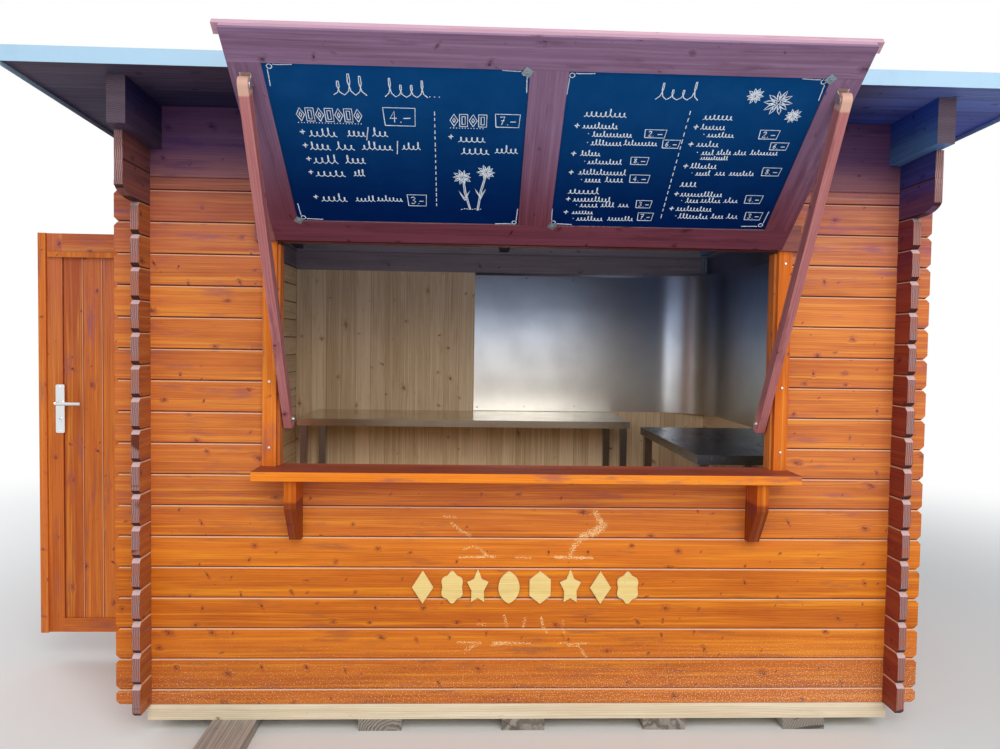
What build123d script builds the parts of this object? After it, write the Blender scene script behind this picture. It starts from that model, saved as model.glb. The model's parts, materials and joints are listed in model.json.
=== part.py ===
import os
from math import atan, cos, degrees, radians, sin

from build123d import *

os.makedirs("parts", exist_ok=True)

# Millimetres. The front is towards -Y, the ground is Z = 0, and the origin
# lies at the middle of the walls' footprint.

# Walls of interlocking logs
hut_width = 2800  # over the outer faces of the side walls
hut_depth = 2400  # over the outer faces of the front and back walls
log_thickness = 28
course = 114  # cover height of one log
shelf_course = 7  # whole front logs below the hatch
head_logs = 2  # whole front logs from the one at the hatch's head up
seam = 0.4  # gap between neighbouring logs
edge_bevel = 4  # along a log's long edges
end_bevel = 15  # at the corners of a log's end
overrun = 100  # log ends past the crossing wall
notch_fit = 0.3  # beside a crossing log
narrow_course = 48  # strip above the last whole front log
corbel_overrun = 221  # top side logs, past the front and back walls
corbel_curve = 106  # length of the rounded underside at their ends
corbel_rise = 39  # its height

# Ground works
sleeper_width = 160
sleeper_thickness = 44
sleeper_count = 5
sleeper_front = 250  # the left one, past the front wall
sleeper_back = 100
sleeper_pitch = 535
base_width = 60
base_height = 58
base_inset = 13  # front and back beams, short of the side walls' faces
joist_pitch = 440
floor_thickness = 19
floor_board = 117

# Roof, a low slope falling to the back
roof_fall = 0.03  # rise over run
roof_rise = 299  # underside at the front wall's face, above the whole front logs
front_overhang = 390
back_overhang = 170
side_overhang = 265
deck_thickness = 19
deck_board = 115
purlin_width = 60
purlin_height = 152
purlin_inset = 10  # outer face, inside the side walls' outer faces
purlin_front = 296  # past the front wall
purlin_back = 140
sheet_thickness = 3
trim_height = 50
trim_thickness = 2.5
trim_fold = 16  # width of the front and back trims' upstand
trim_lap = 70  # on the roof sheet
trim_drop = 14  # side trims below the deck's underside
eaves_drop = 2  # front and back trims below it
rib_height = 12
rib_width = 14
rib_count = 5
gap = 0.3  # between pieces that lie on each other
fit = 0.5  # spare, where a moving piece closes

# Serving hatch
hatch_head = 1706  # underside of the head lining, above the walls' foot
lining_thickness = 18
lining_depth = 54
lining_setback = 2
lining_lap = 17  # closed flap over the head lining
jamb_lining_lap = 4  # closed flap over the jamb linings
shelf_thickness = 35
shelf_reach = 140  # in front of the wall
shelf_end = 8  # past the casings
casing_width = 50
casing_thickness = 18
head_board_height = 69
head_board_thickness = 30
head_board_end = 25  # past the casings
head_board_ear = 25  # its ends reach down beside the flap
bracket_spacing = 1688
bracket_width = 42
bracket_height = 230
bracket_reach = 118
bracket_nose = 100
bracket_foot = 34
shelf_nosing = 4

# Hatch flap, shown propped open
flap_angle = 37  # above the horizontal
flap_width = 1824
flap_clearance = 5
flap_foot_gap = 24  # closed flap above the shelf
flap_skin = 12
flap_frame_thickness = 10
flap_stile = 95
flap_hinge_rail = 96
flap_free_rail = 105
flap_muntin = 112
batten_width = 35
batten_thickness = 17
batten_end = 22  # past the flap's sides
flap_skin_boards = 7
chalkboard_thickness = 6
hinge_pin_radius = 5
hinge_leaf = 3
hinge_leaf_width = 80
hinge_leaf_height = 42
hinge_spacing = 700
hinge_edge_gap = 1  # leaf's edge past the pin

# Props
prop_width = 30
prop_depth = 45
prop_pivot_inset = 44  # from the flap's sides
prop_pivot_end = 156.5  # from the flap's free edge
prop_pivot_drop = 28.5  # below the flap's underside
prop_bolt_rise = 168  # above the shelf
prop_bolt_setback = 45  # inside the front wall's face
prop_end = 35  # past the lower bolt
prop_bolt_radius = 5
washer_radius = 12
washer_thickness = 2.5
stay_thickness = 3
stay_length = 44
bolt_head_radius = 8
bolt_head = 6
bolt_point = 5  # past the prop's outer face
prop_chamfer = 8

# Side door, shown standing open
door_setback = 677  # hinge axis behind the front wall's face
door_width = 666
door_top_drop = 20  # below the foot of the corbel logs
door_bottom = 24
door_thickness = 34
door_hinge_gap = 6
door_clearance = 5
jamb_width = 40
jamb_depth = 78
jamb_lap = 20  # leaf over the frame
head_lap = 11
threshold_height = 34
stile_width = 58
strip_width = 33
strip_thickness = 12
strip_gap = 7  # bare leaf between the strip and the stile
door_rail = 82
door_bottom_rail = 62
moulding_height = 23
moulding_thickness = 12
door_planks = 6
plank_thickness = 18
knuckle_radius = 5
knuckle_height = 32
door_hinge_height = 200  # from the leaf's ends
plate_width = 40
plate_height = 217
plate_thickness = 6
plate_drop = 26  # its centre below the lever
plate_from_edge = 88
lever_height = 1056
lever_radius = 8
lever_reach = 48
lever_length = 112
lever_play = 1  # round its spindle
lever_bend = 14
plate_corner = 8
plate_edge = 2

# Inside
lining_board = 98
back_lining_thickness = 12
back_lining_drop = 7  # top below the foot of the corbel logs
band_height = 119
band_thickness = 20
splash_thickness = 2
splash_left = -190
splash_bottom = 897
splash_drop = 17  # top below the back lining's
splash_bend = 330
splash_front = 430  # behind the front wall's face
table_height = 894  # above the walls' foot
table_top_thickness = 40
table_leg = 40
table_corner = 4
table_leg_inset = 15  # from the top's edges
back_table_left = -1220
back_table_right = 735
back_table_front = 1700
side_table_left = 736
side_table_front = 340
side_table_back = 1430
foot_radius = 16
foot_height = 25
wall_clearance = 6

# Levels and planes that follow from the sizes above
half_width = hut_width / 2
half_depth = hut_depth / 2
front = -half_depth
back = half_depth
wall_foot = sleeper_thickness + base_height
side_centre = half_width - log_thickness / 2
end_centre = half_depth - log_thickness / 2
inner_width = hut_width - 2 * log_thickness
inner_depth = hut_depth - 2 * log_thickness
log_height = course - seam
notch_depth = course / 4
notch_width = log_thickness + 2 * notch_fit
floor_top = wall_foot + floor_thickness
roof_angle = degrees(atan(roof_fall))
hatch_width = flap_width - 2 * jamb_lining_lap
head_cut = hatch_head + lining_thickness + seam
head_course = int((head_cut - course / 2) // course)
full_courses = head_course + head_logs
top_level = course / 2 + full_courses * course
deck_underside = wall_foot + top_level + roof_rise
shelf_bottom = course / 2 + shelf_course * course
shelf_top = shelf_bottom + shelf_thickness
rough_half = hatch_width / 2 + lining_thickness + seam
corbel_level = full_courses * course
door_top = corbel_level - door_top_drop
back_lining_top = corbel_level - back_lining_drop
splash_top = back_lining_top - splash_drop


def front_level(index):
    """Foot of a front or back log, above the walls' foot."""
    return course / 2 + index * course


def roof_underside(y):
    """Height of the roof deck's underside above the ground."""
    return deck_underside - roof_fall * (y - front)


def make_log(start, end, height=log_height, crossings=(), foot_notch=True, top_notch=True, bevels=()):
    """A log lying along X, its foot at Z = 0, notched where others cross it."""
    with BuildPart() as log:
        with BuildSketch(Plane.YZ.offset(start)) as profile:
            Rectangle(log_thickness, height, align=(Align.CENTER, Align.MIN))
            chamfer(profile.vertices(), edge_bevel)
        extrude(amount=end - start)
        for side in bevels:
            ends = log.edges().filter_by(Axis.Y).group_by(Axis.X)[side]
            chamfer(ends, end_bevel)
        for crossing in crossings:
            if foot_notch:
                with Locations((crossing, 0, 0)):
                    Box(notch_width, log_thickness, notch_depth, mode=Mode.SUBTRACT,
                        align=(Align.CENTER, Align.CENTER, Align.MIN))
            if top_notch:
                with Locations((crossing, 0, height)):
                    Box(notch_width, log_thickness, notch_depth - seam, mode=Mode.SUBTRACT,
                        align=(Align.CENTER, Align.CENTER, Align.MAX))
    return log.part


def end_place(y, level):
    return Location((0, y, wall_foot + level))


def side_place(x, level):
    return Location((x, 0, wall_foot + level), (0, 0, 90))


def plain_boxes(name, *corners):
    """Square-edged pieces, each between a low and a high corner."""
    with BuildPart() as pieces:
        for low, high in corners:
            with Locations(low):
                Box(*[b - a for a, b in zip(low, high)], align=(Align.MIN,) * 3)
    finish(pieces.part, name)


def finish(part, name):
    part.label = name
    export_step(part, f"parts/{name}.step")


# Sleepers and base beams

with BuildPart() as sleepers:
    for index in range(sleeper_count):
        reach = 0 if index else sleeper_front
        with Locations(((index - (sleeper_count - 1) / 2) * sleeper_pitch, back + sleeper_back, 0)):
            Box(sleeper_width, hut_depth + sleeper_back + reach, sleeper_thickness,
                align=(Align.CENTER, Align.MAX, Align.MIN))
finish(sleepers.part, "sleepers")

base_foot = sleeper_thickness + seam
base_half = half_width - base_inset
bay = half_depth - base_width - seam
plain_boxes(
    "base_beams",
    ((-base_half, front, base_foot), (base_half, front + base_width, wall_foot)),
    ((-base_half, back - base_width, base_foot), (base_half, back, wall_foot)),
    ((-half_width, -bay, base_foot), (-half_width + base_width, bay, wall_foot)),
    ((half_width - base_width, -bay, base_foot), (half_width, bay, wall_foot)),
)
with BuildPart() as floor_joists:
    with Locations((0, 0, base_foot)):
        with GridLocations(joist_pitch, 0, 5, 1):
            Box(base_width, 2 * bay, wall_foot - base_foot, align=(Align.CENTER, Align.CENTER, Align.MIN))
finish(floor_joists.part, "floor_joists")

# Floor of planed boards

floor_half = inner_width / 2 - seam
floor_run = inner_depth - 2 * seam
floor_rows = int(floor_run // floor_board)
floor_step = floor_run / floor_rows
with BuildPart() as floor_boards:
    with Locations((0, 0, wall_foot + seam)):
        with GridLocations(0, floor_step, 1, floor_rows):
            Box(2 * floor_half, floor_step - seam, floor_thickness - seam,
                align=(Align.CENTER, Align.CENTER, Align.MIN))
finish(floor_boards.part, "floor_boards")

# Front wall, split round the hatch

front_y = -end_centre
back_y = end_centre
corner_crossings = (-side_centre, side_centre)
log_end = half_width + overrun
half_log = make_log(-log_end, log_end, course / 2 - seam, corner_crossings, False, True, (0, -1))
full_log = make_log(-log_end, log_end, log_height, corner_crossings, True, True, (0, -1))
strip_log = make_log(-log_end, log_end, narrow_course - seam, corner_crossings, True, False, (0, -1))
short_log = make_log(-log_end, -rough_half, log_height, (-side_centre,), True, True, (0,))

with BuildPart() as front_wall_lower:
    with Locations(end_place(front_y, 0)):
        add(half_log)
    with Locations(*[end_place(front_y, front_level(index)) for index in range(shelf_course)]):
        add(full_log)
finish(front_wall_lower.part, "front_wall_lower")

with BuildPart() as front_wall_left:
    with Locations(*[end_place(front_y, front_level(index)) for index in range(shelf_course, head_course)]):
        add(short_log)
finish(front_wall_left.part, "front_wall_left")

with BuildPart() as front_wall_right:
    add(front_wall_left.part)
    mirror(about=Plane.YZ, mode=Mode.REPLACE)
finish(front_wall_right.part, "front_wall_right")

with BuildPart() as front_wall_upper:
    with Locations(*[end_place(front_y, front_level(index)) for index in range(head_course, full_courses)]):
        add(full_log)
    with Locations(end_place(front_y, top_level)):
        add(strip_log)
    with Locations((0, front_y, wall_foot + front_level(head_course))):
        Box(2 * rough_half, log_thickness, head_cut - front_level(head_course), mode=Mode.SUBTRACT,
            align=(Align.CENTER, Align.CENTER, Align.MIN))
finish(front_wall_upper.part, "front_wall_upper")

# Back wall

with BuildPart() as back_wall:
    with Locations(end_place(back_y, 0)):
        add(half_log)
    with Locations(*[end_place(back_y, front_level(index)) for index in range(full_courses)]):
        add(full_log)
    with Locations(end_place(back_y, top_level)):
        add(strip_log)
finish(back_wall.part, "back_wall")

# Purlins under the roof, with the slope

purlin_centre = half_width - purlin_inset - purlin_width / 2


def purlin_foot(y):
    return roof_underside(y) - purlin_height


with BuildPart() as purlins:
    with BuildSketch(Plane.YZ.offset(-purlin_width / 2)):
        with BuildLine():
            purlin_ends = (front - purlin_front, back + purlin_back)
            Polyline(*[(y, purlin_foot(y)) for y in purlin_ends],
                     *[(y, roof_underside(y) - gap) for y in reversed(purlin_ends)], close=True)
        make_face()
    extrude(amount=purlin_width)
    shaped_purlin = purlins.part
    with Locations((-purlin_centre, 0, 0), (purlin_centre, 0, 0)):
        add(shaped_purlin)
finish(purlins.part, "purlins")


def top_board(name, y):
    """The board that closes an end wall up to the roof, notched round the purlins."""
    foot = wall_foot + top_level + narrow_course
    top = roof_underside(y + log_thickness / 2) - gap
    notch_foot = purlin_foot(y + log_thickness / 2) - gap
    with BuildPart() as board:
        with BuildSketch(Plane.XZ.offset(-y - log_thickness / 2)) as outline:
            with Locations((0, foot)):
                Rectangle(inner_width - 2 * seam, top - foot, align=(Align.CENTER, Align.MIN))
            with Locations((0, notch_foot)):
                with GridLocations(purlin_centre, 0, 3, 1):
                    Rectangle(purlin_width + 2 * notch_fit, purlin_height, mode=Mode.SUBTRACT,
                              align=(Align.CENTER, Align.MIN))
        extrude(amount=log_thickness)
    finish(board.part, name)


top_board("front_top_board", front_y)
top_board("back_top_board", back_y)

# Side walls, the left one split round the doorway

side_end = half_depth + overrun
wall_crossings = (-end_centre, end_centre)
door_axis_x = -(half_width + (jamb_depth - log_thickness) / 2 + door_clearance + door_thickness / 2)
door_axis_y = front + door_setback
jamb_front = door_axis_y - (jamb_width - door_hinge_gap - jamb_lap)
jamb_back = door_axis_y + door_hinge_gap + door_width - jamb_lap + jamb_width
side_log = make_log(-side_end, side_end, log_height, wall_crossings, True, True, (0, -1))
door_front_log = make_log(-side_end, jamb_front - seam, log_height, (-end_centre,), True, True, (0,))
door_back_log = make_log(jamb_back + seam, side_end, log_height, (end_centre,), True, True, (-1,))

with BuildPart() as right_wall:
    with Locations(*[side_place(side_centre, index * course) for index in range(full_courses)]):
        add(side_log)
finish(right_wall.part, "right_wall")

with BuildPart() as left_wall_front:
    with Locations(*[side_place(-side_centre, index * course) for index in range(full_courses)]):
        add(door_front_log)
finish(left_wall_front.part, "left_wall_front")

with BuildPart() as left_wall_back:
    with Locations(*[side_place(-side_centre, index * course) for index in range(full_courses)]):
        add(door_back_log)
finish(left_wall_back.part, "left_wall_back")


def corbels(name, x):
    """The two top side logs, which reach out under the purlin's ends."""
    reach = half_depth + corbel_overrun
    foot = wall_foot + corbel_level
    with BuildPart() as logs:
        with BuildSketch(Plane.YZ.offset(x - log_thickness / 2)):
            with BuildLine():
                middle = reach - corbel_curve
                nose = EllipticalCenterArc((-middle, foot + corbel_rise), corbel_curve, corbel_rise,
                                           start_angle=180, arc_size=90)
                tail = EllipticalCenterArc((middle, foot + corbel_rise), corbel_curve, corbel_rise,
                                           start_angle=270, arc_size=90)
                Line(nose @ 1, tail @ 0)
                Polyline(nose @ 0, (-reach, foot + log_height), (reach, foot + log_height), tail @ 1)
            make_face()
            with Locations((0, foot)):
                with GridLocations(2 * end_centre, 0, 2, 1):
                    Rectangle(notch_width, notch_depth, mode=Mode.SUBTRACT, align=(Align.CENTER, Align.MIN))
            with Locations((0, foot + log_height)):
                with GridLocations(2 * end_centre, 0, 2, 1):
                    Rectangle(notch_width, notch_depth - seam, mode=Mode.SUBTRACT,
                              align=(Align.CENTER, Align.MAX))
        extrude(amount=log_thickness)
        with BuildSketch(Plane.YZ.offset(x - log_thickness / 2)):
            with BuildLine():
                Polyline((-reach, foot + course), (reach, foot + course),
                         (reach, purlin_foot(reach) - gap), (-reach, purlin_foot(-reach) - gap), close=True)
            make_face()
        extrude(amount=log_thickness)
    finish(logs.part, name)


corbels("corbels_left", -side_centre)
corbels("corbels_right", side_centre)

# Roof deck, sheet and trims, laid on the slope

roof_plane = Plane(origin=(0, front, deck_underside), x_dir=(1, 0, 0),
                   z_dir=(0, sin(radians(roof_angle)), cos(radians(roof_angle))))
slope_scale = 1 / cos(radians(roof_angle))
deck_front = -front_overhang * slope_scale
deck_back = (hut_depth + back_overhang) * slope_scale
deck_run = deck_back - deck_front
deck_rows = int(deck_run // deck_board)
deck_step = deck_run / deck_rows
deck_half = half_width + side_overhang
with BuildPart() as roof_boards:
    with BuildSketch(roof_plane):
        with Locations((0, (deck_front + deck_back) / 2)):
            with GridLocations(0, deck_step, 1, deck_rows):
                Rectangle(2 * deck_half, deck_step - seam)
    extrude(amount=deck_thickness)
finish(roof_boards.part, "roof_boards")

with BuildPart() as roof_sheet:
    with BuildSketch(roof_plane.offset(deck_thickness + gap)):
        with Locations((0, (deck_front + deck_back) / 2)):
            Rectangle(2 * deck_half, deck_run)
    extrude(amount=sheet_thickness)
    with BuildSketch(roof_plane.offset(deck_thickness + gap + sheet_thickness)):
        with Locations((0, (deck_front + deck_back) / 2)):
            with GridLocations(2 * deck_half / (rib_count + 1), 0, rib_count, 1):
                Rectangle(rib_width, deck_run - 2 * (trim_lap + rib_width))
    extrude(amount=rib_height)
finish(roof_sheet.part, "roof_sheet")

sheet_top = deck_thickness + gap + sheet_thickness + gap


def trim_plane(start, inward, run):
    return Plane(origin=roof_plane.from_local_coords(start), x_dir=inward, z_dir=run)


def side_trim(start, inward, run, length, corner):
    """An angle that laps on the sheet and hangs down past the deck's edge."""
    with BuildPart() as trim:
        with BuildSketch(trim_plane(start, inward, run)):
            with Locations((-gap - trim_thickness, sheet_top)):
                Rectangle(trim_lap + gap + trim_thickness, trim_thickness, align=(Align.MIN, Align.MIN))
        extrude(amount=length)
        with BuildSketch(trim_plane(start, inward, run).offset(-corner)):
            with Locations((-gap, -trim_drop)):
                Rectangle(trim_thickness, sheet_top + trim_thickness + trim_drop,
                          align=(Align.MAX, Align.MIN))
        extrude(amount=length + 2 * corner)
    return trim.part


def eaves_trim(start, inward, run, length):
    """A folded upstand at the edge, its inner leg lapping on the sheet."""
    outer = -gap - trim_thickness
    top = trim_height - eaves_drop
    with BuildPart() as trim:
        with BuildSketch(trim_plane(start, inward, run)):
            with BuildLine():
                Polyline((outer, -eaves_drop), (outer, top), (outer + trim_fold, top),
                         (outer + trim_fold, sheet_top + trim_thickness),
                         (trim_lap, sheet_top + trim_thickness), (trim_lap, sheet_top),
                         (outer + trim_fold - trim_thickness, sheet_top),
                         (outer + trim_fold - trim_thickness, top - trim_thickness),
                         (-gap, top - trim_thickness), (-gap, -eaves_drop), close=True)
            make_face()
        extrude(amount=length)
    return trim.part


slope_dir = roof_plane.y_dir
across = roof_plane.x_dir
corner_run = trim_lap + gap
side_start = deck_front + corner_run
side_finish = deck_back - corner_run
trims = [
    eaves_trim((-deck_half, deck_front, 0), slope_dir, across, 2 * deck_half),
    eaves_trim((deck_half, deck_back, 0), -slope_dir, -across, 2 * deck_half),
    side_trim((-deck_half, side_finish, 0), across, -slope_dir, side_finish - side_start, corner_run),
    side_trim((deck_half, side_start, 0), -across, slope_dir, side_finish - side_start, corner_run),
]
with BuildPart() as roof_trims:
    for trim in trims:
        add(trim)
finish(roof_trims.part, "roof_trims")

# Hatch linings, casings, head board and shelf

lining_front = front + lining_setback
lining_back = lining_front + lining_depth
shelf_z = wall_foot + shelf_top
lining_inner = hatch_width / 2
lining_half = lining_inner + lining_thickness
lining_top = wall_foot + hatch_head - gap
plain_boxes(
    "hatch_lining",
    ((-lining_half, lining_front, shelf_z + gap), (-lining_inner, lining_back, lining_top)),
    ((lining_inner, lining_front, shelf_z + gap), (lining_half, lining_back, lining_top)),
    ((-lining_half, lining_front, wall_foot + hatch_head),
     (lining_half, lining_back, wall_foot + hatch_head + lining_thickness)),
)

flap_half = flap_width / 2
casing_inner = flap_half + flap_clearance
flap_top = hatch_head + lining_lap
head_board_foot = flap_top + flap_clearance
casing_face = front - gap - casing_thickness
casing_outer = casing_inner + casing_width
casing_top = wall_foot + head_board_foot - head_board_ear - gap
plain_boxes(
    "hatch_casings",
    ((-casing_outer, casing_face, shelf_z + gap), (-casing_inner, front - gap, casing_top)),
    ((casing_inner, casing_face, shelf_z + gap), (casing_outer, front - gap, casing_top)),
)
head_face = front - gap - head_board_thickness
with BuildPart() as hatch_head_board:
    with BuildSketch(Plane.XZ.offset(-front + gap)):
        with Locations((0, wall_foot + head_board_foot - head_board_ear)):
            Rectangle(2 * (casing_outer + head_board_end), head_board_height + head_board_ear,
                      align=(Align.CENTER, Align.MIN))
            Rectangle(2 * casing_inner, head_board_ear, align=(Align.CENTER, Align.MIN), mode=Mode.SUBTRACT)
    extrude(amount=head_board_thickness)
finish(hatch_head_board.part, "hatch_head_board")

with BuildPart() as counter_shelf:
    with BuildSketch(Plane.XY.offset(wall_foot + shelf_bottom + gap)):
        with Locations((0, front - gap)):
            Rectangle(2 * (casing_outer + shelf_end), shelf_reach - gap, align=(Align.CENTER, Align.MAX))
        with Locations((0, front - gap)):
            Rectangle(2 * lining_half, lining_back - front + gap, align=(Align.CENTER, Align.MIN))
    extrude(amount=shelf_thickness - gap)
    nosing = counter_shelf.edges().filter_by(Axis.X).group_by(Axis.Y)[0]
    fillet(nosing, shelf_nosing)
finish(counter_shelf.part, "counter_shelf")


bracket_top = wall_foot + shelf_bottom
bracket_wall = front - gap
with BuildPart() as shelf_brackets:
    with BuildSketch(Plane.YZ.offset(bracket_spacing / 2 - bracket_width / 2)):
        with BuildLine():
            Polyline((bracket_wall, bracket_top), (bracket_wall - bracket_reach, bracket_top),
                     (bracket_wall - bracket_reach, bracket_top - bracket_nose),
                     (bracket_wall - bracket_foot, bracket_top - bracket_height),
                     (bracket_wall, bracket_top - bracket_height), close=True)
        make_face()
    extrude(amount=bracket_width)
    mirror(about=Plane.YZ)
finish(shelf_brackets.part, "shelf_brackets")

# Hatch flap on its hinge axis, opened up

flap_face = hinge_pin_radius + hinge_leaf - fit  # outer face, from the hinge axis
flap_thickness = flap_skin + flap_frame_thickness
flap_under = flap_face + flap_thickness
axis_y = front - flap_clearance - fit - flap_under
axis_z = wall_foot + (flap_top + head_board_foot) / 2
flap_start = axis_z - wall_foot - flap_top
flap_end = axis_z - (shelf_z + flap_foot_gap)
tilt = radians(flap_angle)
flap_plane = Plane(origin=(0, axis_y, axis_z), x_dir=(1, 0, 0), z_dir=(0, -sin(tilt), -cos(tilt)))

skin_run = flap_end - flap_start
skin_step = skin_run / flap_skin_boards
with BuildPart() as flap_boards:
    with BuildSketch(flap_plane.offset(flap_face)):
        with Locations((0, (flap_start + flap_end) / 2)):
            with GridLocations(0, skin_step, 1, flap_skin_boards):
                Rectangle(flap_width, skin_step - seam)
    extrude(amount=flap_skin - gap)
finish(flap_boards.part, "flap_boards")

panel_start = flap_start + flap_hinge_rail
panel_end = flap_end - flap_free_rail
with BuildPart() as flap_frame:
    with BuildSketch(flap_plane.offset(flap_face + flap_skin)):
        with Locations((0, flap_start)):
            Rectangle(flap_width, flap_hinge_rail - seam, align=(Align.CENTER, Align.MIN))
        with Locations((0, flap_end)):
            Rectangle(flap_width, flap_free_rail - seam, align=(Align.CENTER, Align.MAX))
        with Locations((0, (panel_start + panel_end) / 2)):
            Rectangle(flap_muntin, panel_end - panel_start)
            with GridLocations(flap_width - flap_stile, 0, 2, 1):
                Rectangle(flap_stile, panel_end - panel_start)
    extrude(amount=flap_frame_thickness)
finish(flap_frame.part, "flap_frame")

board_width = flap_half - flap_stile - flap_muntin / 2
board_pitch = flap_muntin + board_width
with BuildPart() as chalkboards:
    with BuildSketch(flap_plane.offset(flap_face + flap_skin)):
        with Locations((0, (panel_start + panel_end) / 2)):
            with GridLocations(board_pitch, 0, 2, 1):
                Rectangle(board_width - 2 * fit, panel_end - panel_start - 2 * fit)
    extrude(amount=chalkboard_thickness)
finish(chalkboards.part, "chalkboards")

with BuildPart() as flap_batten:
    with BuildSketch(flap_plane.offset(flap_face - gap)):
        with Locations((0, flap_end)):
            Rectangle(flap_width + 2 * batten_end, batten_width, align=(Align.CENTER, Align.MAX))
    extrude(amount=-batten_thickness)
finish(flap_batten.part, "flap_batten")

# Flap hinges: outer knuckles on the head board, middle knuckle on the flap

knuckle_run = hinge_leaf_width / 3
head_leaf_y = head_face - gap
with BuildPart() as head_hinges:
    with GridLocations(hinge_spacing, 0, 3, 1):
        with Locations((0, head_leaf_y, axis_z + hinge_pin_radius + hinge_edge_gap)):
            Box(hinge_leaf_width, hinge_leaf, hinge_leaf_height, align=(Align.CENTER, Align.MAX, Align.MIN))
        with GridLocations(2 * knuckle_run, 0, 2, 1):
            with Locations((0, head_leaf_y, axis_z)):
                Box(knuckle_run - gap, hinge_leaf, hinge_pin_radius + 2 * hinge_edge_gap,
                    align=(Align.CENTER, Align.MAX, Align.MIN))
            with Locations(Location((0, axis_y, axis_z), (0, 90, 0))):
                Cylinder(hinge_pin_radius, knuckle_run - gap)
finish(head_hinges.part, "head_hinges")

with BuildPart() as flap_hinges:
    with BuildSketch(flap_plane.offset(flap_face - hinge_leaf)):
        with GridLocations(hinge_spacing, 0, 3, 1):
            with Locations((0, hinge_pin_radius + hinge_edge_gap)):
                Rectangle(hinge_leaf_width, hinge_leaf_height, align=(Align.CENTER, Align.MIN))
            Rectangle(knuckle_run - gap, hinge_pin_radius + 2 * hinge_edge_gap,
                      align=(Align.CENTER, Align.MIN))
    extrude(amount=hinge_leaf - gap)
    with GridLocations(hinge_spacing, 0, 3, 1):
        with Locations(Location((0, axis_y, axis_z), (0, 90, 0))):
            Cylinder(hinge_pin_radius, knuckle_run - gap)
finish(flap_hinges.part, "flap_hinges")

# Props, pivoted on the flap, their feet at the jambs

pivot_depth = flap_under + prop_pivot_drop
prop_pivot = flap_end - prop_pivot_end
pivot = flap_plane.from_local_coords((0, prop_pivot, pivot_depth))
bolt = Vector(0, front + prop_bolt_setback, shelf_z + prop_bolt_rise)
pivot_x = flap_half - prop_pivot_inset
bolt_x = lining_inner - flap_clearance - prop_width / 2
stays = []
for side_name, side in (("left", -1), ("right", 1)):
    prop_x = side * pivot_x
    foot_x = side * bolt_x
    inner_face = prop_x - side * prop_width / 2
    outer_face = prop_x + side * prop_width / 2
    foot_inner = foot_x - side * prop_width / 2
    foot_outer = foot_x + side * prop_width / 2
    prop_run = Vector(foot_x - prop_x, bolt.Y - pivot.Y, bolt.Z - pivot.Z)
    prop_length = prop_run.length
    prop_plane = Plane(origin=(prop_x, pivot.Y, pivot.Z), x_dir=prop_run.normalized(),
                       z_dir=Vector(1, 0, 0) - prop_run.normalized() * prop_run.normalized().X)
    with BuildPart() as prop:
        with BuildSketch(prop_plane.offset(-prop_width / 2)) as outline:
            with Locations((-prop_depth / 2, 0)):
                Rectangle(prop_depth / 2 + prop_length + prop_end, prop_depth,
                          align=(Align.MIN, Align.CENTER))
            fillet(outline.vertices().group_by(Axis.X)[0], prop_depth / 2 - fit)
            chamfer(outline.vertices().group_by(Axis.X)[-1], prop_chamfer)
            with Locations((0, 0), (prop_length, 0)):
                Circle(prop_bolt_radius + gap, mode=Mode.SUBTRACT)
        extrude(amount=prop_width)
    finish(prop.part, f"prop_{side_name}")

    # Stay bracket on the flap: a foot on the frame and a cheek beside the prop
    cheek_outer = inner_face - side * fit
    cheek_inner = cheek_outer - side * stay_thickness
    foot_low, foot_high = sorted((cheek_inner, outer_face))
    cheek_plane = Plane(origin=(min(cheek_inner, cheek_outer), axis_y, axis_z),
                        x_dir=flap_plane.y_dir, z_dir=(1, 0, 0))
    with BuildPart() as stay:
        with BuildSketch(flap_plane.offset(flap_under + gap)):
            with Locations(((foot_low + foot_high) / 2, prop_pivot)):
                Rectangle(foot_high - foot_low, stay_length)
        extrude(amount=stay_thickness)
        with BuildSketch(cheek_plane) as cheek:
            with Locations((prop_pivot, flap_under + gap)):
                Rectangle(2 * washer_radius, prop_pivot_drop - gap, align=(Align.CENTER, Align.MIN))
            with Locations((prop_pivot, pivot_depth)):
                Circle(washer_radius)
        extrude(amount=stay_thickness)
        with Locations(Location((prop_x, pivot.Y, pivot.Z), (0, 90, 0))):
            Cylinder(prop_bolt_radius, prop_width + 2 * fit)
    stays.append(stay.part)

    # Lower bolt with its washer and head, carried by the prop
    with BuildPart() as prop_bolt:
        with Locations(Location((foot_x, bolt.Y, bolt.Z), (0, 90, 0))):
            Cylinder(prop_bolt_radius, prop_width + 2 * fit)
        washer_centre = foot_inner - side * (fit + washer_thickness / 2)
        with Locations(Location((washer_centre, bolt.Y, bolt.Z), (0, 90, 0))):
            Cylinder(washer_radius, washer_thickness)
        head_centre = foot_inner - side * (fit + washer_thickness + bolt_head / 2)
        with Locations(Location((head_centre, bolt.Y, bolt.Z), (0, 90, 0))):
            Cylinder(bolt_head_radius, bolt_head)
        point_centre = foot_outer + side * bolt_point / 2
        with Locations(Location((point_centre, bolt.Y, bolt.Z), (0, 90, 0))):
            Cylinder(prop_bolt_radius, bolt_point)
    finish(prop_bolt.part, f"prop_bolt_{side_name}")

with BuildPart() as prop_stays:
    for stay_part in stays:
        add(stay_part)
finish(prop_stays.part, "prop_stays")

# Door frame in the left wall

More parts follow.
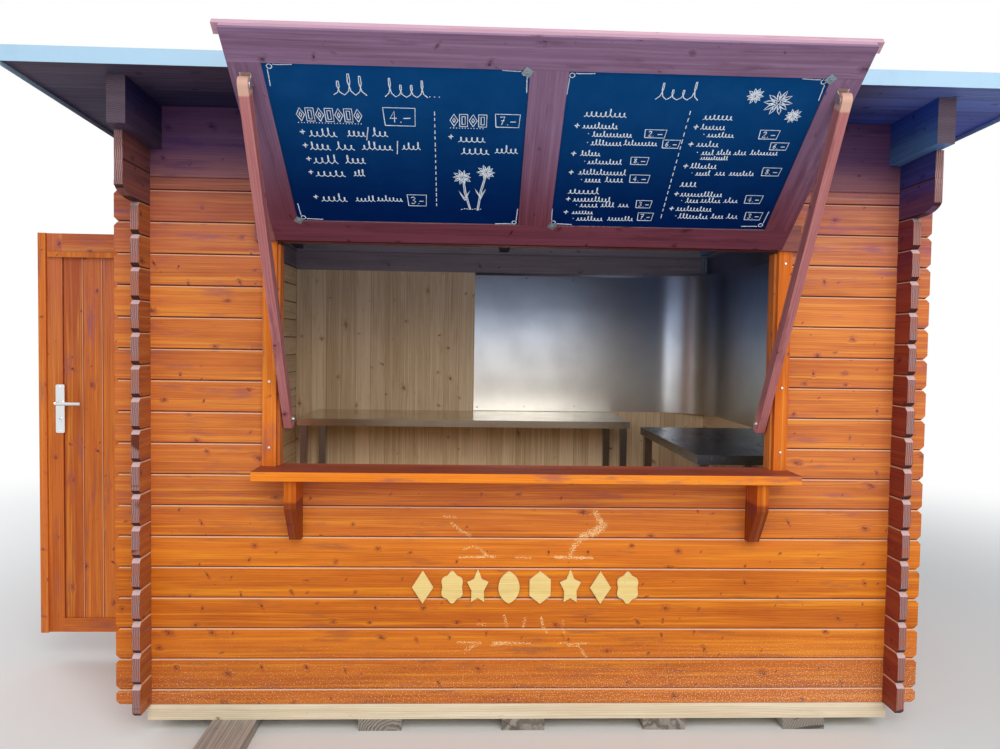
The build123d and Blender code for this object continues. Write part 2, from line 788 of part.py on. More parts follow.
jamb_out = -half_width - (jamb_depth - log_thickness) / 2
jamb_in = jamb_out + jamb_depth
door_head = door_top - head_lap
frame_top = wall_foot + corbel_level - seam
jamb_foot = wall_foot + threshold_height + gap
head_foot = wall_foot + door_head
plain_boxes(
    "door_frame",
    ((jamb_out, jamb_front, wall_foot + gap), (-inner_width / 2, jamb_back, wall_foot + threshold_height)),
    ((jamb_out, jamb_front, jamb_foot), (jamb_in, jamb_front + jamb_width, head_foot - gap)),
    ((jamb_out, jamb_back - jamb_width, jamb_foot), (jamb_in, jamb_back, head_foot - gap)),
    ((jamb_out, jamb_front, head_foot), (jamb_in, jamb_back, frame_top)),
)

# Door leaf, its outer face to the front while it stands open

leaf_face = door_axis_y - door_thickness / 2
leaf_back = door_axis_y + door_thickness / 2
leaf_hinge_edge = door_axis_x - door_hinge_gap
leaf_free_edge = leaf_hinge_edge - door_width
leaf_foot = wall_foot + door_bottom
leaf_top = wall_foot + door_top
lever_x = leaf_free_edge + plate_from_edge
stile_left = leaf_free_edge + strip_width + strip_gap
plank_foot = leaf_foot + door_bottom_rail
plank_top = leaf_top - door_rail
plank_left = stile_left + stile_width
plank_right = leaf_hinge_edge - stile_width

with BuildPart() as leaf_frame:
    with BuildSketch(Plane.XZ.offset(-leaf_back)):
        with Locations((leaf_free_edge, leaf_foot)):
            Rectangle(door_width, leaf_top - leaf_foot, align=(Align.MIN, Align.MIN))
        with Locations((plank_left, plank_foot)):
            Rectangle(plank_right - plank_left, plank_top - plank_foot, align=(Align.MIN, Align.MIN),
                      mode=Mode.SUBTRACT)
    extrude(amount=door_thickness)
    with Locations(Location((lever_x, door_axis_y, wall_foot + lever_height), (90, 0, 0))):
        Cylinder(lever_radius + lever_play, 2 * door_thickness, mode=Mode.SUBTRACT)
finish(leaf_frame.part, "door_leaf_frame")

plank_span = plank_right - plank_left
plank_step = plank_span / door_planks
with BuildPart() as planks:
    with BuildSketch(Plane.XZ.offset(-door_axis_y - plank_thickness / 2)):
        with Locations(((plank_left + plank_right) / 2, (plank_foot + plank_top) / 2)):
            with GridLocations(plank_step, 0, door_planks, 1):
                Rectangle(plank_step - seam, plank_top - plank_foot - 2 * gap)
    extrude(amount=plank_thickness)
finish(planks.part, "door_planks")

moulding_foot = plank_top - moulding_height
plain_boxes(
    "door_trim",
    ((leaf_free_edge, leaf_face - gap - strip_thickness, leaf_foot),
     (leaf_free_edge + strip_width, leaf_face - gap, leaf_top)),
    ((plank_left - stile_width + gap, leaf_face - gap - moulding_thickness, moulding_foot),
     (leaf_hinge_edge, leaf_face - gap, moulding_foot + moulding_height)),
)

# Door hinges: outer knuckles on the jamb, middle knuckle on the leaf

hinge_levels = (leaf_foot + door_hinge_height, (leaf_foot + leaf_top) / 2, leaf_top - door_hinge_height)
jamb_face_gap = jamb_out - door_axis_x
with BuildPart() as jamb_hinges:
    for level in hinge_levels:
        with Locations((door_axis_x, door_axis_y, level - knuckle_height),
                       (door_axis_x, door_axis_y, level + knuckle_height)):
            Cylinder(knuckle_radius, knuckle_height - gap)
            Box(jamb_face_gap - gap, hinge_leaf, knuckle_height - gap,
                align=(Align.MIN, Align.CENTER, Align.CENTER))
        with Locations((jamb_out - gap, jamb_front + hinge_edge_gap, level)):
            Box(hinge_leaf, door_axis_y - jamb_front + hinge_edge_gap, 3 * knuckle_height - gap,
                align=(Align.MAX, Align.MIN, Align.CENTER))
finish(jamb_hinges.part, "jamb_hinges")

with BuildPart() as leaf_hinges:
    for level in hinge_levels:
        with Locations((door_axis_x, door_axis_y, level)):
            Cylinder(knuckle_radius, knuckle_height - gap)
            Box(door_hinge_gap - gap, hinge_leaf, knuckle_height - gap,
                align=(Align.MAX, Align.CENTER, Align.CENTER))
finish(leaf_hinges.part, "leaf_hinges")

# Handle plates and levers on both faces

with BuildPart() as door_plates:
    with BuildSketch(Plane.XZ.offset(-leaf_face + gap)) as plate:
        with Locations((lever_x, wall_foot + lever_height - plate_drop)):
            Rectangle(plate_width, plate_height)
        fillet(plate.vertices(), plate_corner)
        with Locations((lever_x, wall_foot + lever_height)):
            Circle(lever_radius + lever_play, mode=Mode.SUBTRACT)
    extrude(amount=plate_thickness)
    fillet(door_plates.faces().sort_by(Axis.Y)[0].outer_wire().edges(), plate_edge)
    mirror(about=Plane.XZ.offset(-door_axis_y))
finish(door_plates.part, "door_plates")

lever_y = leaf_face - gap - plate_thickness - lever_reach
with BuildPart() as door_lever:
    with BuildLine() as lever_path:
        lever_z = wall_foot + lever_height
        FilletPolyline((lever_x, door_axis_y, lever_z), (lever_x, lever_y, lever_z),
                       (lever_x + lever_length, lever_y, lever_z), radius=lever_bend)
    with BuildSketch(Plane.XZ.offset(-door_axis_y)):
        with Locations((lever_x, wall_foot + lever_height)):
            Circle(lever_radius)
    sweep()
    mirror(about=Plane.XZ.offset(-door_axis_y))
finish(door_lever.part, "door_lever")

# Back lining of upright boards with a level band above

lining_face = back - log_thickness - gap - back_lining_thickness
lining_span = inner_width - 2 * seam
lining_boards = int(lining_span // lining_board)
lining_step = lining_span / lining_boards
with BuildPart() as back_lining:
    with BuildSketch(Plane.XZ.offset(-lining_face - back_lining_thickness)):
        with Locations((0, (floor_top + gap + wall_foot + back_lining_top) / 2)):
            with GridLocations(lining_step, 0, lining_boards, 1):
                Rectangle(lining_step - seam, wall_foot + back_lining_top - floor_top - gap)
    extrude(amount=back_lining_thickness)
finish(back_lining.part, "back_lining")
band_back = back - log_thickness - gap
band_foot = wall_foot + back_lining_top + gap
plain_boxes(
    "back_lining_band",
    ((-lining_span / 2, band_back - band_thickness, band_foot),
     (lining_span / 2, band_back, band_foot + band_height)),
)

# Steel splash sheet: flat on the back, bent round the corner, flat on the right wall

splash_back = lining_face - gap
splash_right = inner_width / 2 - gap
splash_height = splash_top - splash_bottom
with BuildPart() as splash_sheet:
    with BuildSketch(Plane.XY.offset(wall_foot + splash_bottom)):
        with BuildLine():
            bend_centre = (splash_right - splash_bend, splash_back - splash_bend)
            inner = CenterArc(bend_centre, splash_bend - splash_thickness, 0, 90)
            outer = CenterArc(bend_centre, splash_bend, 0, 90)
            Polyline(inner @ 1, (splash_left, splash_back - splash_thickness), (splash_left, splash_back),
                     outer @ 1)
            Polyline(inner @ 0, (splash_right - splash_thickness, front + splash_front),
                     (splash_right, front + splash_front), outer @ 0)
        make_face()
    extrude(amount=splash_top - splash_bottom)
finish(splash_sheet.part, "splash_sheet")

# Steel tables


def make_table(name, low, high):
    """A sheet-topped table on square legs with levelling feet."""
    top = wall_foot + table_height
    middle = ((low[0] + high[0]) / 2, (low[1] + high[1]) / 2)
    size = (high[0] - low[0], high[1] - low[1])
    with BuildPart() as table_top:
        with Locations((middle[0], middle[1], top)):
            Box(*size, table_top_thickness, align=(Align.CENTER, Align.CENTER, Align.MAX))
        fillet(table_top.edges().filter_by(Axis.Z), table_corner)
    finish(table_top.part, f"{name}_top")
    inset = table_leg / 2 + table_leg_inset
    leg_top = top - table_top_thickness - gap
    with BuildPart() as legs:
        with Locations((middle[0], middle[1], floor_top + gap)):
            with GridLocations(size[0] - 2 * inset, size[1] - 2 * inset, 2, 2):
                Cylinder(foot_radius, foot_height, align=(Align.CENTER, Align.CENTER, Align.MIN))
                with Locations((0, 0, foot_height)):
                    Box(table_leg, table_leg, leg_top - floor_top - gap - foot_height,
                        align=(Align.CENTER, Align.CENTER, Align.MIN))
    finish(legs.part, f"{name}_legs")


make_table("back_table", (back_table_left, front + back_table_front),
           (back_table_right, splash_back - wall_clearance))
make_table("side_table", (side_table_left, front + side_table_front),
           (splash_right - wall_clearance, front + side_table_back))
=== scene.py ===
import bpy
import json
import math
import random
from mathutils import Matrix, Vector


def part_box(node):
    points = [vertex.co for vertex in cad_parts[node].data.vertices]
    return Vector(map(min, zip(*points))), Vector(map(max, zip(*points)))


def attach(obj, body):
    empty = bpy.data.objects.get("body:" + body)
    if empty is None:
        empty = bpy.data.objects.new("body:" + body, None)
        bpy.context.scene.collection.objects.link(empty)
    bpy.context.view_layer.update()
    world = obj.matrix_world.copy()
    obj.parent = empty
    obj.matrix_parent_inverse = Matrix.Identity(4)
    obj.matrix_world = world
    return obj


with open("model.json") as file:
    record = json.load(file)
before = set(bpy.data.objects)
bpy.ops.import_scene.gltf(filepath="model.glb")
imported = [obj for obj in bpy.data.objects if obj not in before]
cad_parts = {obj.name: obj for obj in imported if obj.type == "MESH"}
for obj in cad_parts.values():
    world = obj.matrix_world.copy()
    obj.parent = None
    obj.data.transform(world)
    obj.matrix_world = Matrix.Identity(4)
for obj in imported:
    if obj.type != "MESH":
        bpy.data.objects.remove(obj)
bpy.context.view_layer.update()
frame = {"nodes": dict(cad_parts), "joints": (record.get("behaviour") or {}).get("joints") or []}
nodes = frame["nodes"]
joints = {joint["name"]: joint for joint in frame["joints"]}


# Camera, set as the photographer stood
camera = {
    "place": (-0.216, -4.068, 1.452),
    "turn": (87.691, -0.848, -2.166),
    "focal": 28.08,
    "sensor": 36.0,
}


def makeCamera():
    data = bpy.data.cameras.new("photoCamera")
    data.lens = camera["focal"]
    data.sensor_width = camera["sensor"]
    eye = bpy.data.objects.new("photoCamera", data)
    eye.location = camera["place"]
    eye.rotation_euler = [math.radians(a) for a in camera["turn"]]
    bpy.context.scene.collection.objects.link(eye)
    bpy.context.scene.camera = eye
    print("camera set")


# A node's output that is added, multiplied and compared as a number is
class Value:
    def __init__(self, socket):
        self.socket = socket
        self.tree = socket.id_data

    def __add__(self, other):
        return calc("ADD", self, other)

    def __sub__(self, other):
        return calc("SUBTRACT", self, other)

    def __rsub__(self, other):
        return calc("SUBTRACT", other, self)

    def __mul__(self, other):
        return calc("MULTIPLY", self, other)

    def __truediv__(self, other):
        return calc("DIVIDE", self, other)

    def __gt__(self, other):
        return calc("GREATER_THAN", self, other)

    def __lt__(self, other):
        return calc("LESS_THAN", self, other)

    def __abs__(self):
        return calc("ABSOLUTE", self)


def put(inputs, values):
    for key, value in values.items():
        socket = inputs[key]
        if isinstance(value, Value):
            value.tree.links.new(value.socket, socket)
        elif socket.type == "RGBA":
            socket.default_value = (*value, 1)
        else:
            socket.default_value = value


def addNode(tree, kind, values=None, **settings):
    made = tree.nodes.new(kind)
    for key, value in settings.items():
        setattr(made, key, value)
    put(made.inputs, values or {})
    return made


def outlets(made):
    return {socket.name: Value(socket) for socket in made.outputs}


# A node that joins the tree of the values it takes
def joinNode(kind, values, output=0, **settings):
    tree = next(value.tree for value in values.values() if isinstance(value, Value))
    return Value(addNode(tree, kind, values, **settings).outputs[output])


def calc(operation, *values, clamp=False):
    return joinNode("ShaderNodeMath", dict(enumerate(values)), operation=operation, use_clamp=clamp)


def timesPlus(value, factor, added, clamp=False):
    return calc("MULTIPLY_ADD", value, factor, added, clamp=clamp)


def vectorCalc(operation, *values):
    output = "Value" if operation in ("LENGTH", "DOT_PRODUCT") else "Vector"
    return joinNode("ShaderNodeVectorMath", dict(enumerate(values)), output, operation=operation)


def apart(vector):
    return outlets(addNode(vector.tree, "ShaderNodeSeparateXYZ", {"Vector": vector}))


def together(x, y, z):
    return joinNode("ShaderNodeCombineXYZ", {"X": x, "Y": y, "Z": z})


def smoothRange(value, low, high, outLow=0.0, outHigh=1.0):
    ends = {"Value": value, "From Min": low, "From Max": high, "To Min": outLow, "To Max": outHigh}
    return joinNode("ShaderNodeMapRange", ends, "Result", interpolation_type="SMOOTHSTEP")


def mixColour(factor, first, second, blend="MIX"):
    return joinNode("ShaderNodeMix", {0: factor, 6: first, 7: second}, 2, data_type="RGBA", blend_type=blend)


def mixVector(factor, first, second):
    return joinNode("ShaderNodeMix", {0: factor, 4: first, 5: second}, 1, data_type="VECTOR")


def noise(point, scale=1.0, detail=2.0, roughness=0.5):
    settings = {"Vector": point, "Scale": scale, "Detail": detail, "Roughness": roughness}
    return joinNode("ShaderNodeTexNoise", settings, "Fac")


def stretchedNoise(point, stretch, detail, roughness=0.5):
    return noise(vectorCalc("MULTIPLY", point, stretch), 1.0, detail, roughness)


def bumped(height, strength, distance):
    return joinNode("ShaderNodeBump", {"Strength": strength, "Distance": distance, "Height": height})


# A group takes the named values, and gives what its build function returns
def makeGroup(name, takes, build):
    group = bpy.data.node_groups.new(name, "ShaderNodeTree")
    for key, default in takes.items():
        kind = "NodeSocketVector" if isinstance(default, tuple) else "NodeSocketFloat"
        group.interface.new_socket(name=key, in_out="INPUT", socket_type=kind).default_value = default
    results = build(outlets(group.nodes.new("NodeGroupInput")))
    for key, value in results.items():
        kind = "NodeSocketVector" if value.socket.type == "VECTOR" else "NodeSocketFloat"
        group.interface.new_socket(name=key, in_out="OUTPUT", socket_type=kind)
    put(group.nodes.new("NodeGroupOutput").inputs, results)
    return group


def useGroup(group, values):
    tree = next(value.tree for value in values.values() if isinstance(value, Value))
    made = addNode(tree, "ShaderNodeGroup", node_tree=group)
    put(made.inputs, values)
    return outlets(made)


def newMaterial(name):
    material = bpy.data.materials.new(name)
    material.use_nodes = True
    tree = material.node_tree
    return material, tree.nodes["Principled BSDF"], outlets(addNode(tree, "ShaderNodeTexCoord"))


# Floor, sky and lamps
studio = {
    "floorSize": 60.0,
    "floorColour": (0.74, 0.74, 0.73),
    "fadeStart": 2.6,
    "fadeEnd": 6.5,
    "skyColour": (0.86, 0.93, 1.0),
    "skyStrength": 0.66,
    "white": (1.0, 1.0, 1.0),
}
lamps = {
    "keyLamp": {"place": (0.9, -6.4, 4.6), "size": (6.0,), "power": 318.0, "colour": (1.0, 0.965, 0.92),
                "target": (0, -1.2, 1.0), "mirrored": True},
    "doorLamp": {"place": (-5.5, 1.2, 3.2), "size": (2.5,), "power": 80.0, "colour": (1, 1, 1),
                 "target": (-1.4, -0.2, 1.0), "mirrored": True},
    "roomLamp": {"place": (-0.1, -1.12, 1.5), "size": (1.6, 0.5), "power": 14.0, "colour": (0.93, 0.96, 1.0),
                 "target": (-0.05, 1.1, 1.05), "mirrored": False},
}


def makeLamp(name):
    settings = lamps[name]
    data = bpy.data.lights.new(name, "AREA")
    data.size = settings["size"][0]
    if len(settings["size"]) > 1:
        data.shape = "RECTANGLE"
        data.size_y = settings["size"][1]
    data.energy = settings["power"]
    data.color = settings["colour"]
    lamp = bpy.data.objects.new(name, data)
    lamp.location = settings["place"]
    aim = Vector(settings["target"]) - lamp.location
    lamp.rotation_euler = aim.to_track_quat("-Z", "Y").to_euler()
    lamp.visible_glossy = settings["mirrored"]
    bpy.context.scene.collection.objects.link(lamp)


# Chooses the second shader where the camera sees it, straight or by reflection
def mixSeen(tree, first, second, factor=None):
    path = outlets(addNode(tree, "ShaderNodeLightPath"))
    seen = calc("MAXIMUM", path["Is Camera Ray"], path["Is Glossy Ray"])
    seen = calc("MAXIMUM", seen, path["Is Transmission Ray"])
    share = factor * seen if factor else seen
    ends = {0: share, 1: Value(first.outputs[0]), 2: Value(second.outputs[0])}
    return {"Surface": Value(addNode(tree, "ShaderNodeMixShader", ends).outputs[0])}


def makeStudio():
    bpy.ops.object.select_all(action="DESELECT")
    bpy.ops.mesh.primitive_plane_add(size=studio["floorSize"], location=(0, 0, 0))
    floor = bpy.context.object
    floor.name = "studioFloor"
    material, shader, spot = newMaterial("studioFloor")
    tree = material.node_tree
    put(shader.inputs, {"Base Color": studio["floorColour"], "Roughness": 0.9, "Specular IOR Level": 0.1})
    away = smoothRange(vectorCalc("LENGTH", spot["Object"]), studio["fadeStart"], studio["fadeEnd"])
    glow = addNode(tree, "ShaderNodeEmission", {"Color": studio["white"], "Strength": 1.0})
    put(tree.nodes["Material Output"].inputs, mixSeen(tree, shader, glow, away))
    floor.data.materials.append(material)

    world = bpy.data.worlds.new("softSky")
    bpy.context.scene.world = world
    world.use_nodes = True
    tree = world.node_tree
    tree.nodes.clear()
    sky = {"Color": studio["skyColour"], "Strength": studio["skyStrength"]}
    soft = addNode(tree, "ShaderNodeBackground", sky)
    white = addNode(tree, "ShaderNodeBackground", {"Color": studio["white"]})
    addNode(tree, "ShaderNodeOutputWorld", mixSeen(tree, soft, white))

    for name in lamps:
        makeLamp(name)
    print("studio set")


# Splits a surface into boards: a place on its own board, a seed for each board and the way to its two edges
def boardParts(takes):
    parts = apart(takes["Point"])
    rows = (parts["Y"] - takes["Start"]) / takes["Pitch"]
    row = calc("FLOOR", rows)
    across = (rows - row) * takes["Pitch"]
    seed = joinNode("ShaderNodeTexWhiteNoise", {"W": row}, "Value", noise_dimensions="1D")
    broad = together(parts["X"], across, parts["Z"])
    narrow = together(parts["X"], parts["Z"], across)
    return {"Local": mixVector(takes["Narrow"], broad, narrow), "Seed": seed, "Foot": across,
            "Head": takes["Pitch"] - across}


# Spruce figure on a board: year rings, fibres, knots and blotches
def spruceFigure(takes):
    seed, step = takes["Seed"], takes["Knot Step"]
    parts = apart(takes["Local"])
    along = parts["X"] + seed * 37.0
    cell = together(along / step, parts["Y"] * 2.6 / step + seed * 19.0, 0.0)
    scatter = {"Vector": cell, "Scale": 1.0, "Randomness": 1.0}
    spots = outlets(addNode(seed.tree, "ShaderNodeTexVoronoi", scatter, voronoi_dimensions="2D"))
    luck = outlets(addNode(seed.tree, "ShaderNodeSeparateColor", {"Color": spots["Color"]}))
    away = vectorCalc("SUBTRACT", cell, spots["Position"])
    away = apart(vectorCalc("MULTIPLY", away, together(step, step / 2.6, 0.0)))
    leaned = timesPlus(away["Y"], (luck["Red"] - 0.65) * 1.6, away["X"])
    slim = smoothRange(luck["Blue"], 0.0, 1.0, 0.55, 2.1)
    distance = vectorCalc("LENGTH", together(leaned * slim, away["Y"], 0.0))
    present = luck["Green"] < takes["Knot Share"]
    radius = calc("MAXIMUM", (luck["Red"] + 0.3) * takes["Knot Size"] * present, 0.0001)
    wobble = noise(takes["Local"], 120.0, 3.0, 0.65) - 0.5
    rough = timesPlus(wobble, radius * 5.5, distance)
    knot = smoothRange(rough, radius * 0.5, radius, 1.0, 0.0)
    knot = knot * present * smoothRange(luck["Blue"], 0.0, 1.0, 0.6, 1.0)
    rim = smoothRange(rough, radius, radius * 3.2, 1.0, 0.0)

    # The rings bow round each knot, and their heart lies beside the board
    pull = smoothRange(distance, 0.0, radius * 5.0, 0.8, 0.0)
    flow = parts["Y"] - away["Y"] * pull
    warp = (noise(together(along * 0.9, flow * 5.0, seed * 23.0)) - 0.5) * 0.07
    heart = (calc("FRACT", seed * 7.3) - 0.5) * 0.16
    level = flow + warp + heart
    sunk = timesPlus(calc("FRACT", seed * 3.7), 0.05, 0.012)
    reach = calc("SQRT", level * level + sunk * sunk)
    rings = smoothRange(calc("SINE", reach / takes["Ring Step"] * (2 * math.pi)), -0.4, 1.0)

    def figure(point, detail, roughness, low, high):
        return smoothRange(noise(point, 1.0, detail, roughness), low, high)

    patch = figure(together(along * 4.2, parts["Y"] * 22.0, seed * 17.0), 4.0, 0.6, 0.54, 0.72)
    return {
        "Rings": rings,
        "Fibre": figure(together(along * 2.2, flow * 170.0, parts["Z"] * 120.0), 3.0, 0.6, 0.3, 0.75),
        "Knot": knot,
        "Rim": rim,
        "Blotch": figure(together(along * 2.4, parts["Y"] * 14.0, seed * 11.0), 4.0, 0.6, 0.36, 0.72),
        "Streak": figure(together(along * 1.3, flow * 62.0, seed * 31.0), 3.0, 0.65, 0.46, 0.72),
        "Patch": calc("MAXIMUM", patch, rim * 0.8),
        "Fleck": figure(together(along * 60.0, flow * 110.0, seed), 2.0, 0.5, 0.73, 0.8),
    }


# Sawn end: rings round a pith, with drying cracks
def sawnFigure(takes):
    parts = apart(takes["Local"])
    seed = takes["Seed"]
    height = parts["Y"] - takes["Middle"] - (seed - 0.5) * 0.08
    side = parts["Z"] + 0.03
    flat = together(side, height, seed)
    reach = vectorCalc("LENGTH", flat) + noise(flat, 30.0) * 0.01
    shaft = together(calc("ARCTAN2", height, side) * 9.0, reach * 6.0, seed * 9.0)
    return {"Rings": smoothRange(calc("SINE", reach * 1100.0), -0.6, 1.0),
            "Crack": smoothRange(noise(shaft, 1.0, 1.0), 0.66, 0.72)}


# How near a point is to a straight stroke, 1 on it and 0 past its reach
def strokeMask(takes):
    run = vectorCalc("SUBTRACT", takes["To"], takes["From"])
    moved = vectorCalc("SUBTRACT", takes["Point"], takes["From"])
    length = vectorCalc("DOT_PRODUCT", run, run)
    share = calc("DIVIDE", vectorCalc("DOT_PRODUCT", moved, run), length, clamp=True)
    nearest = joinNode("ShaderNodeVectorMath", {0: run, "Scale": share}, operation="SCALE")
    distance = vectorCalc("LENGTH", vectorCalc("SUBTRACT", moved, nearest))
    near = smoothRange(distance, takes["Reach"] * 0.15, takes["Reach"], 1.0, 0.0)
    return {"Mask": near * takes["Strength"]}


spruceTakes = {"Local": (0, 0, 0), "Seed": 0.5, "Knot Size": 0.006, "Knot Share": 0.5, "Knot Step": 0.2,
               "Ring Step": 0.007}
strokeTakes = {"Point": (0, 0, 0), "From": (0, 0, 0), "To": (1, 0, 0), "Reach": 0.02, "Strength": 1.0}
boards = makeGroup("boards", {"Point": (0, 0, 0), "Start": 0.0, "Pitch": 0.1, "Narrow": 0.0}, boardParts)
spruceGrain = makeGroup("spruceGrain", spruceTakes, spruceFigure)
sawnEnd = makeGroup("sawnEnd", {"Local": (0, 0, 0), "Seed": 0.5, "Middle": 0.05}, sawnFigure)
stroke = makeGroup("stroke", strokeTakes, strokeMask)
print("shader groups built")

# Wood finishes. In each, the colour for a board's upper bevel is a painted highlight, the seam colour is
# painted shade in the groove at a board's foot, and the two end-bevel colours paint a highlight on the bevels
# facing up and shade on those facing down round sawn ends
stain = {
    "light": (0.66, 0.19, 0.04), "dark": (0.4, 0.09, 0.022), "knot": (0.11, 0.024, 0.013),
    "bevelHighlight": (0.92, 0.55, 0.36), "seam": (0.08, 0.011, 0.009), "glow": (0.84, 0.33, 0.045),
    "bloom": (0.32, 0.095, 0.085), "end": (0.37, 0.21, 0.205), "endDark": (0.135, 0.065, 0.06),
    "endBevelHighlight": (0.62, 0.42, 0.42), "endBevelShade": (0.045, 0.012, 0.012), "streak": 0.6, "patch": 0.62,
    "rings": 0.22, "fibre": 0.36, "blotch": 0.42, "spread": 0.12, "knotSize": 0.0054, "knotShare": 0.55,
    "knotStep": 0.155, "ringStep": 0.0085, "roughness": 0.42, "specular": 0.16, "bump": 0.22,
}
# The flap frame's stain: a red-brown with a painted violet sheen of the sky in its colour
flapStainAndSkySheen = {
    **stain, "light": (0.255, 0.15, 0.265), "dark": (0.15, 0.075, 0.135), "knot": (0.04, 0.012, 0.02),
    "bevelHighlight": (0.34, 0.17, 0.2), "seam": (0.03, 0.01, 0.014), "glow": (0.32, 0.2, 0.32),
    "bloom": (0.13, 0.06, 0.11), "spread": 0.08,
}
brownStain = {
    **stain, "light": (0.235, 0.088, 0.082), "dark": (0.115, 0.04, 0.046), "knot": (0.035, 0.01, 0.012),
    "bevelHighlight": (0.17, 0.06, 0.05), "seam": (0.02, 0.006, 0.006), "glow": (0.3, 0.1, 0.06),
    "bloom": (0.1, 0.038, 0.055), "rings": 0.26, "spread": 0.1, "specular": 0.14,
}
cornerStain = {
    **stain, "light": (0.36, 0.11, 0.05), "dark": (0.21, 0.055, 0.03), "specular": 0.14,
    "glow": (0.46, 0.15, 0.06), "bloom": (0.17, 0.05, 0.045),
}
# A dark stain whose blue-violet hue is partly a painted reflection of the sky
roofStainAndSkySheen = {
    **stain, "light": (0.076, 0.062, 0.108), "dark": (0.04, 0.03, 0.054), "knot": (0.02, 0.012, 0.02),
    "bevelHighlight": (0.12, 0.1, 0.17), "seam": (0.012, 0.009, 0.016), "spread": 0.1, "roughness": 0.5,
    "glow": (0.09, 0.08, 0.13), "bloom": (0.045, 0.034, 0.065), "specular": 0.12,
}
# A pale pink-lilac finish that is a painted reflection of the sky on the flap batten
palePink = {
    **stain, "light": (0.6, 0.38, 0.48), "dark": (0.45, 0.25, 0.32), "rings": 0.14, "blotch": 0.5,
    "glow": (0.7, 0.46, 0.56), "bloom": (0.42, 0.22, 0.29),
}
beamStain = {
    **brownStain, "light": (0.062, 0.044, 0.088), "dark": (0.034, 0.022, 0.046), "glow": (0.08, 0.05, 0.09),
    "bloom": (0.036, 0.024, 0.055), "end": (0.135, 0.095, 0.125), "endDark": (0.07, 0.046, 0.065),
    "endBevelHighlight": (0.12, 0.08, 0.08),
}
propStain = {
    **brownStain, "light": (0.48, 0.18, 0.18), "dark": (0.28, 0.085, 0.095), "glow": (0.56, 0.24, 0.22),
    "bloom": (0.22, 0.065, 0.08),
}
headStain = {**brownStain, "light": (0.29, 0.098, 0.08), "dark": (0.17, 0.05, 0.045)}
trimStain = {**stain, "light": (0.69, 0.185, 0.033), "dark": (0.45, 0.094, 0.017)}
casingStain = {**trimStain, "light": (0.69, 0.16, 0.018), "dark": (0.45, 0.082, 0.01), "specular": 0.08}
bracketStain = {**casingStain, "light": (0.56, 0.125, 0.008), "dark": (0.42, 0.08, 0.006)}
shelfStain = {**trimStain, "light": (0.92, 0.28, 0.016), "dark": (0.68, 0.16, 0.01), "knotStep": 0.3}
plankStain = {**trimStain, "spread": 0.3, "knotShare": 0.65}
natural = {
    **stain, "light": (0.76, 0.57, 0.37), "dark": (0.5, 0.34, 0.19), "knot": (0.13, 0.048, 0.026),
    "bevelHighlight": (0.7, 0.55, 0.36), "seam": (0.2, 0.12, 0.06), "glow": (0.84, 0.68, 0.46),
    "bloom": (0.5, 0.32, 0.165), "streak": 0.5, "patch": 0.45, "rings": 0.4, "blotch": 0.34, "spread": 0.22,
    "knotSize": 0.0085, "knotShare": 0.66, "knotStep": 0.26, "roughness": 0.6, "specular": 0.2,
    "end": (0.5, 0.34, 0.2), "endDark": (0.3, 0.18, 0.09),
}
# A dark grey wood that stands for painted shade: on the band along the back, and inside the corbels and the
# top boards
paintedShadeGrey = {
    **natural, "light": (0.21, 0.182, 0.225), "dark": (0.125, 0.103, 0.13), "knot": (0.04, 0.03, 0.04),
    "bevelHighlight": (0.16, 0.13, 0.13), "seam": (0.04, 0.03, 0.03), "glow": (0.24, 0.21, 0.25),
    "bloom": (0.105, 0.086, 0.11),
}
rawBeam = {
    **natural, "light": (0.86, 0.76, 0.56), "dark": (0.66, 0.53, 0.36), "knotShare": 0.25,
    "glow": (0.92, 0.84, 0.66), "bloom": (0.6, 0.47, 0.31),
}
plyWood = {
    **natural, "light": (0.82, 0.62, 0.24), "dark": (0.64, 0.44, 0.14), "knotShare": 0.0, "rings": 0.2,
    "glow": (0.9, 0.76, 0.4), "bloom": (0.58, 0.41, 0.15),
}
greySleeper = {
    **natural, "light": (0.42, 0.385, 0.34), "dark": (0.22, 0.195, 0.17), "knot": (0.1, 0.08, 0.07),
    "glow": (0.5, 0.46, 0.41), "bloom": (0.18, 0.16, 0.14), "roughness": 0.8, "end": (0.34, 0.3, 0.26),
    "endDark": (0.13, 0.11, 0.09),
}


# Boards run along one axis and lie side by side across another: "XZ" is along X and across Z
def turnedBy(layout, vector, isPlace):
    if "tilt" in layout:
        if isPlace:
            vector = vectorCalc("SUBTRACT", vector, layout["pivot"])
        turn = {"Vector": vector, "Center": (0, 0, 0), "Angle": layout["tilt"]}
        vector = joinNode("ShaderNodeVectorRotate", turn, rotation_type="X_AXIS")
    parts = apart(vector)
    along, across = layout["run"]
    depth = "XYZ".replace(along, "").replace(across, "")
    return together(parts[along], parts[across], parts[depth])


def insideMask(place, low, high):
    parts = apart(place)
    mask = None
    for axis, lowest, highest in zip("XYZ", low, high):
        both = (parts[axis] > lowest) * (parts[axis] < highest)
        mask = mask * both if mask else both
    return mask


# A tint along one axis, from nothing at one place to all of it at another
def tintBand(axis, none, full, tint, mirror=False):
    return {"axis": axis, "none": none, "full": full, "tint": tint, "mirror": mirror}


def shadeBand(colour, place, band):
    value = apart(place)[band["axis"]]
    if band["mirror"]:
        value = abs(value)
    return mixColour(smoothRange(value, band["none"], band["full"]), colour, band["tint"], blend="MULTIPLY")


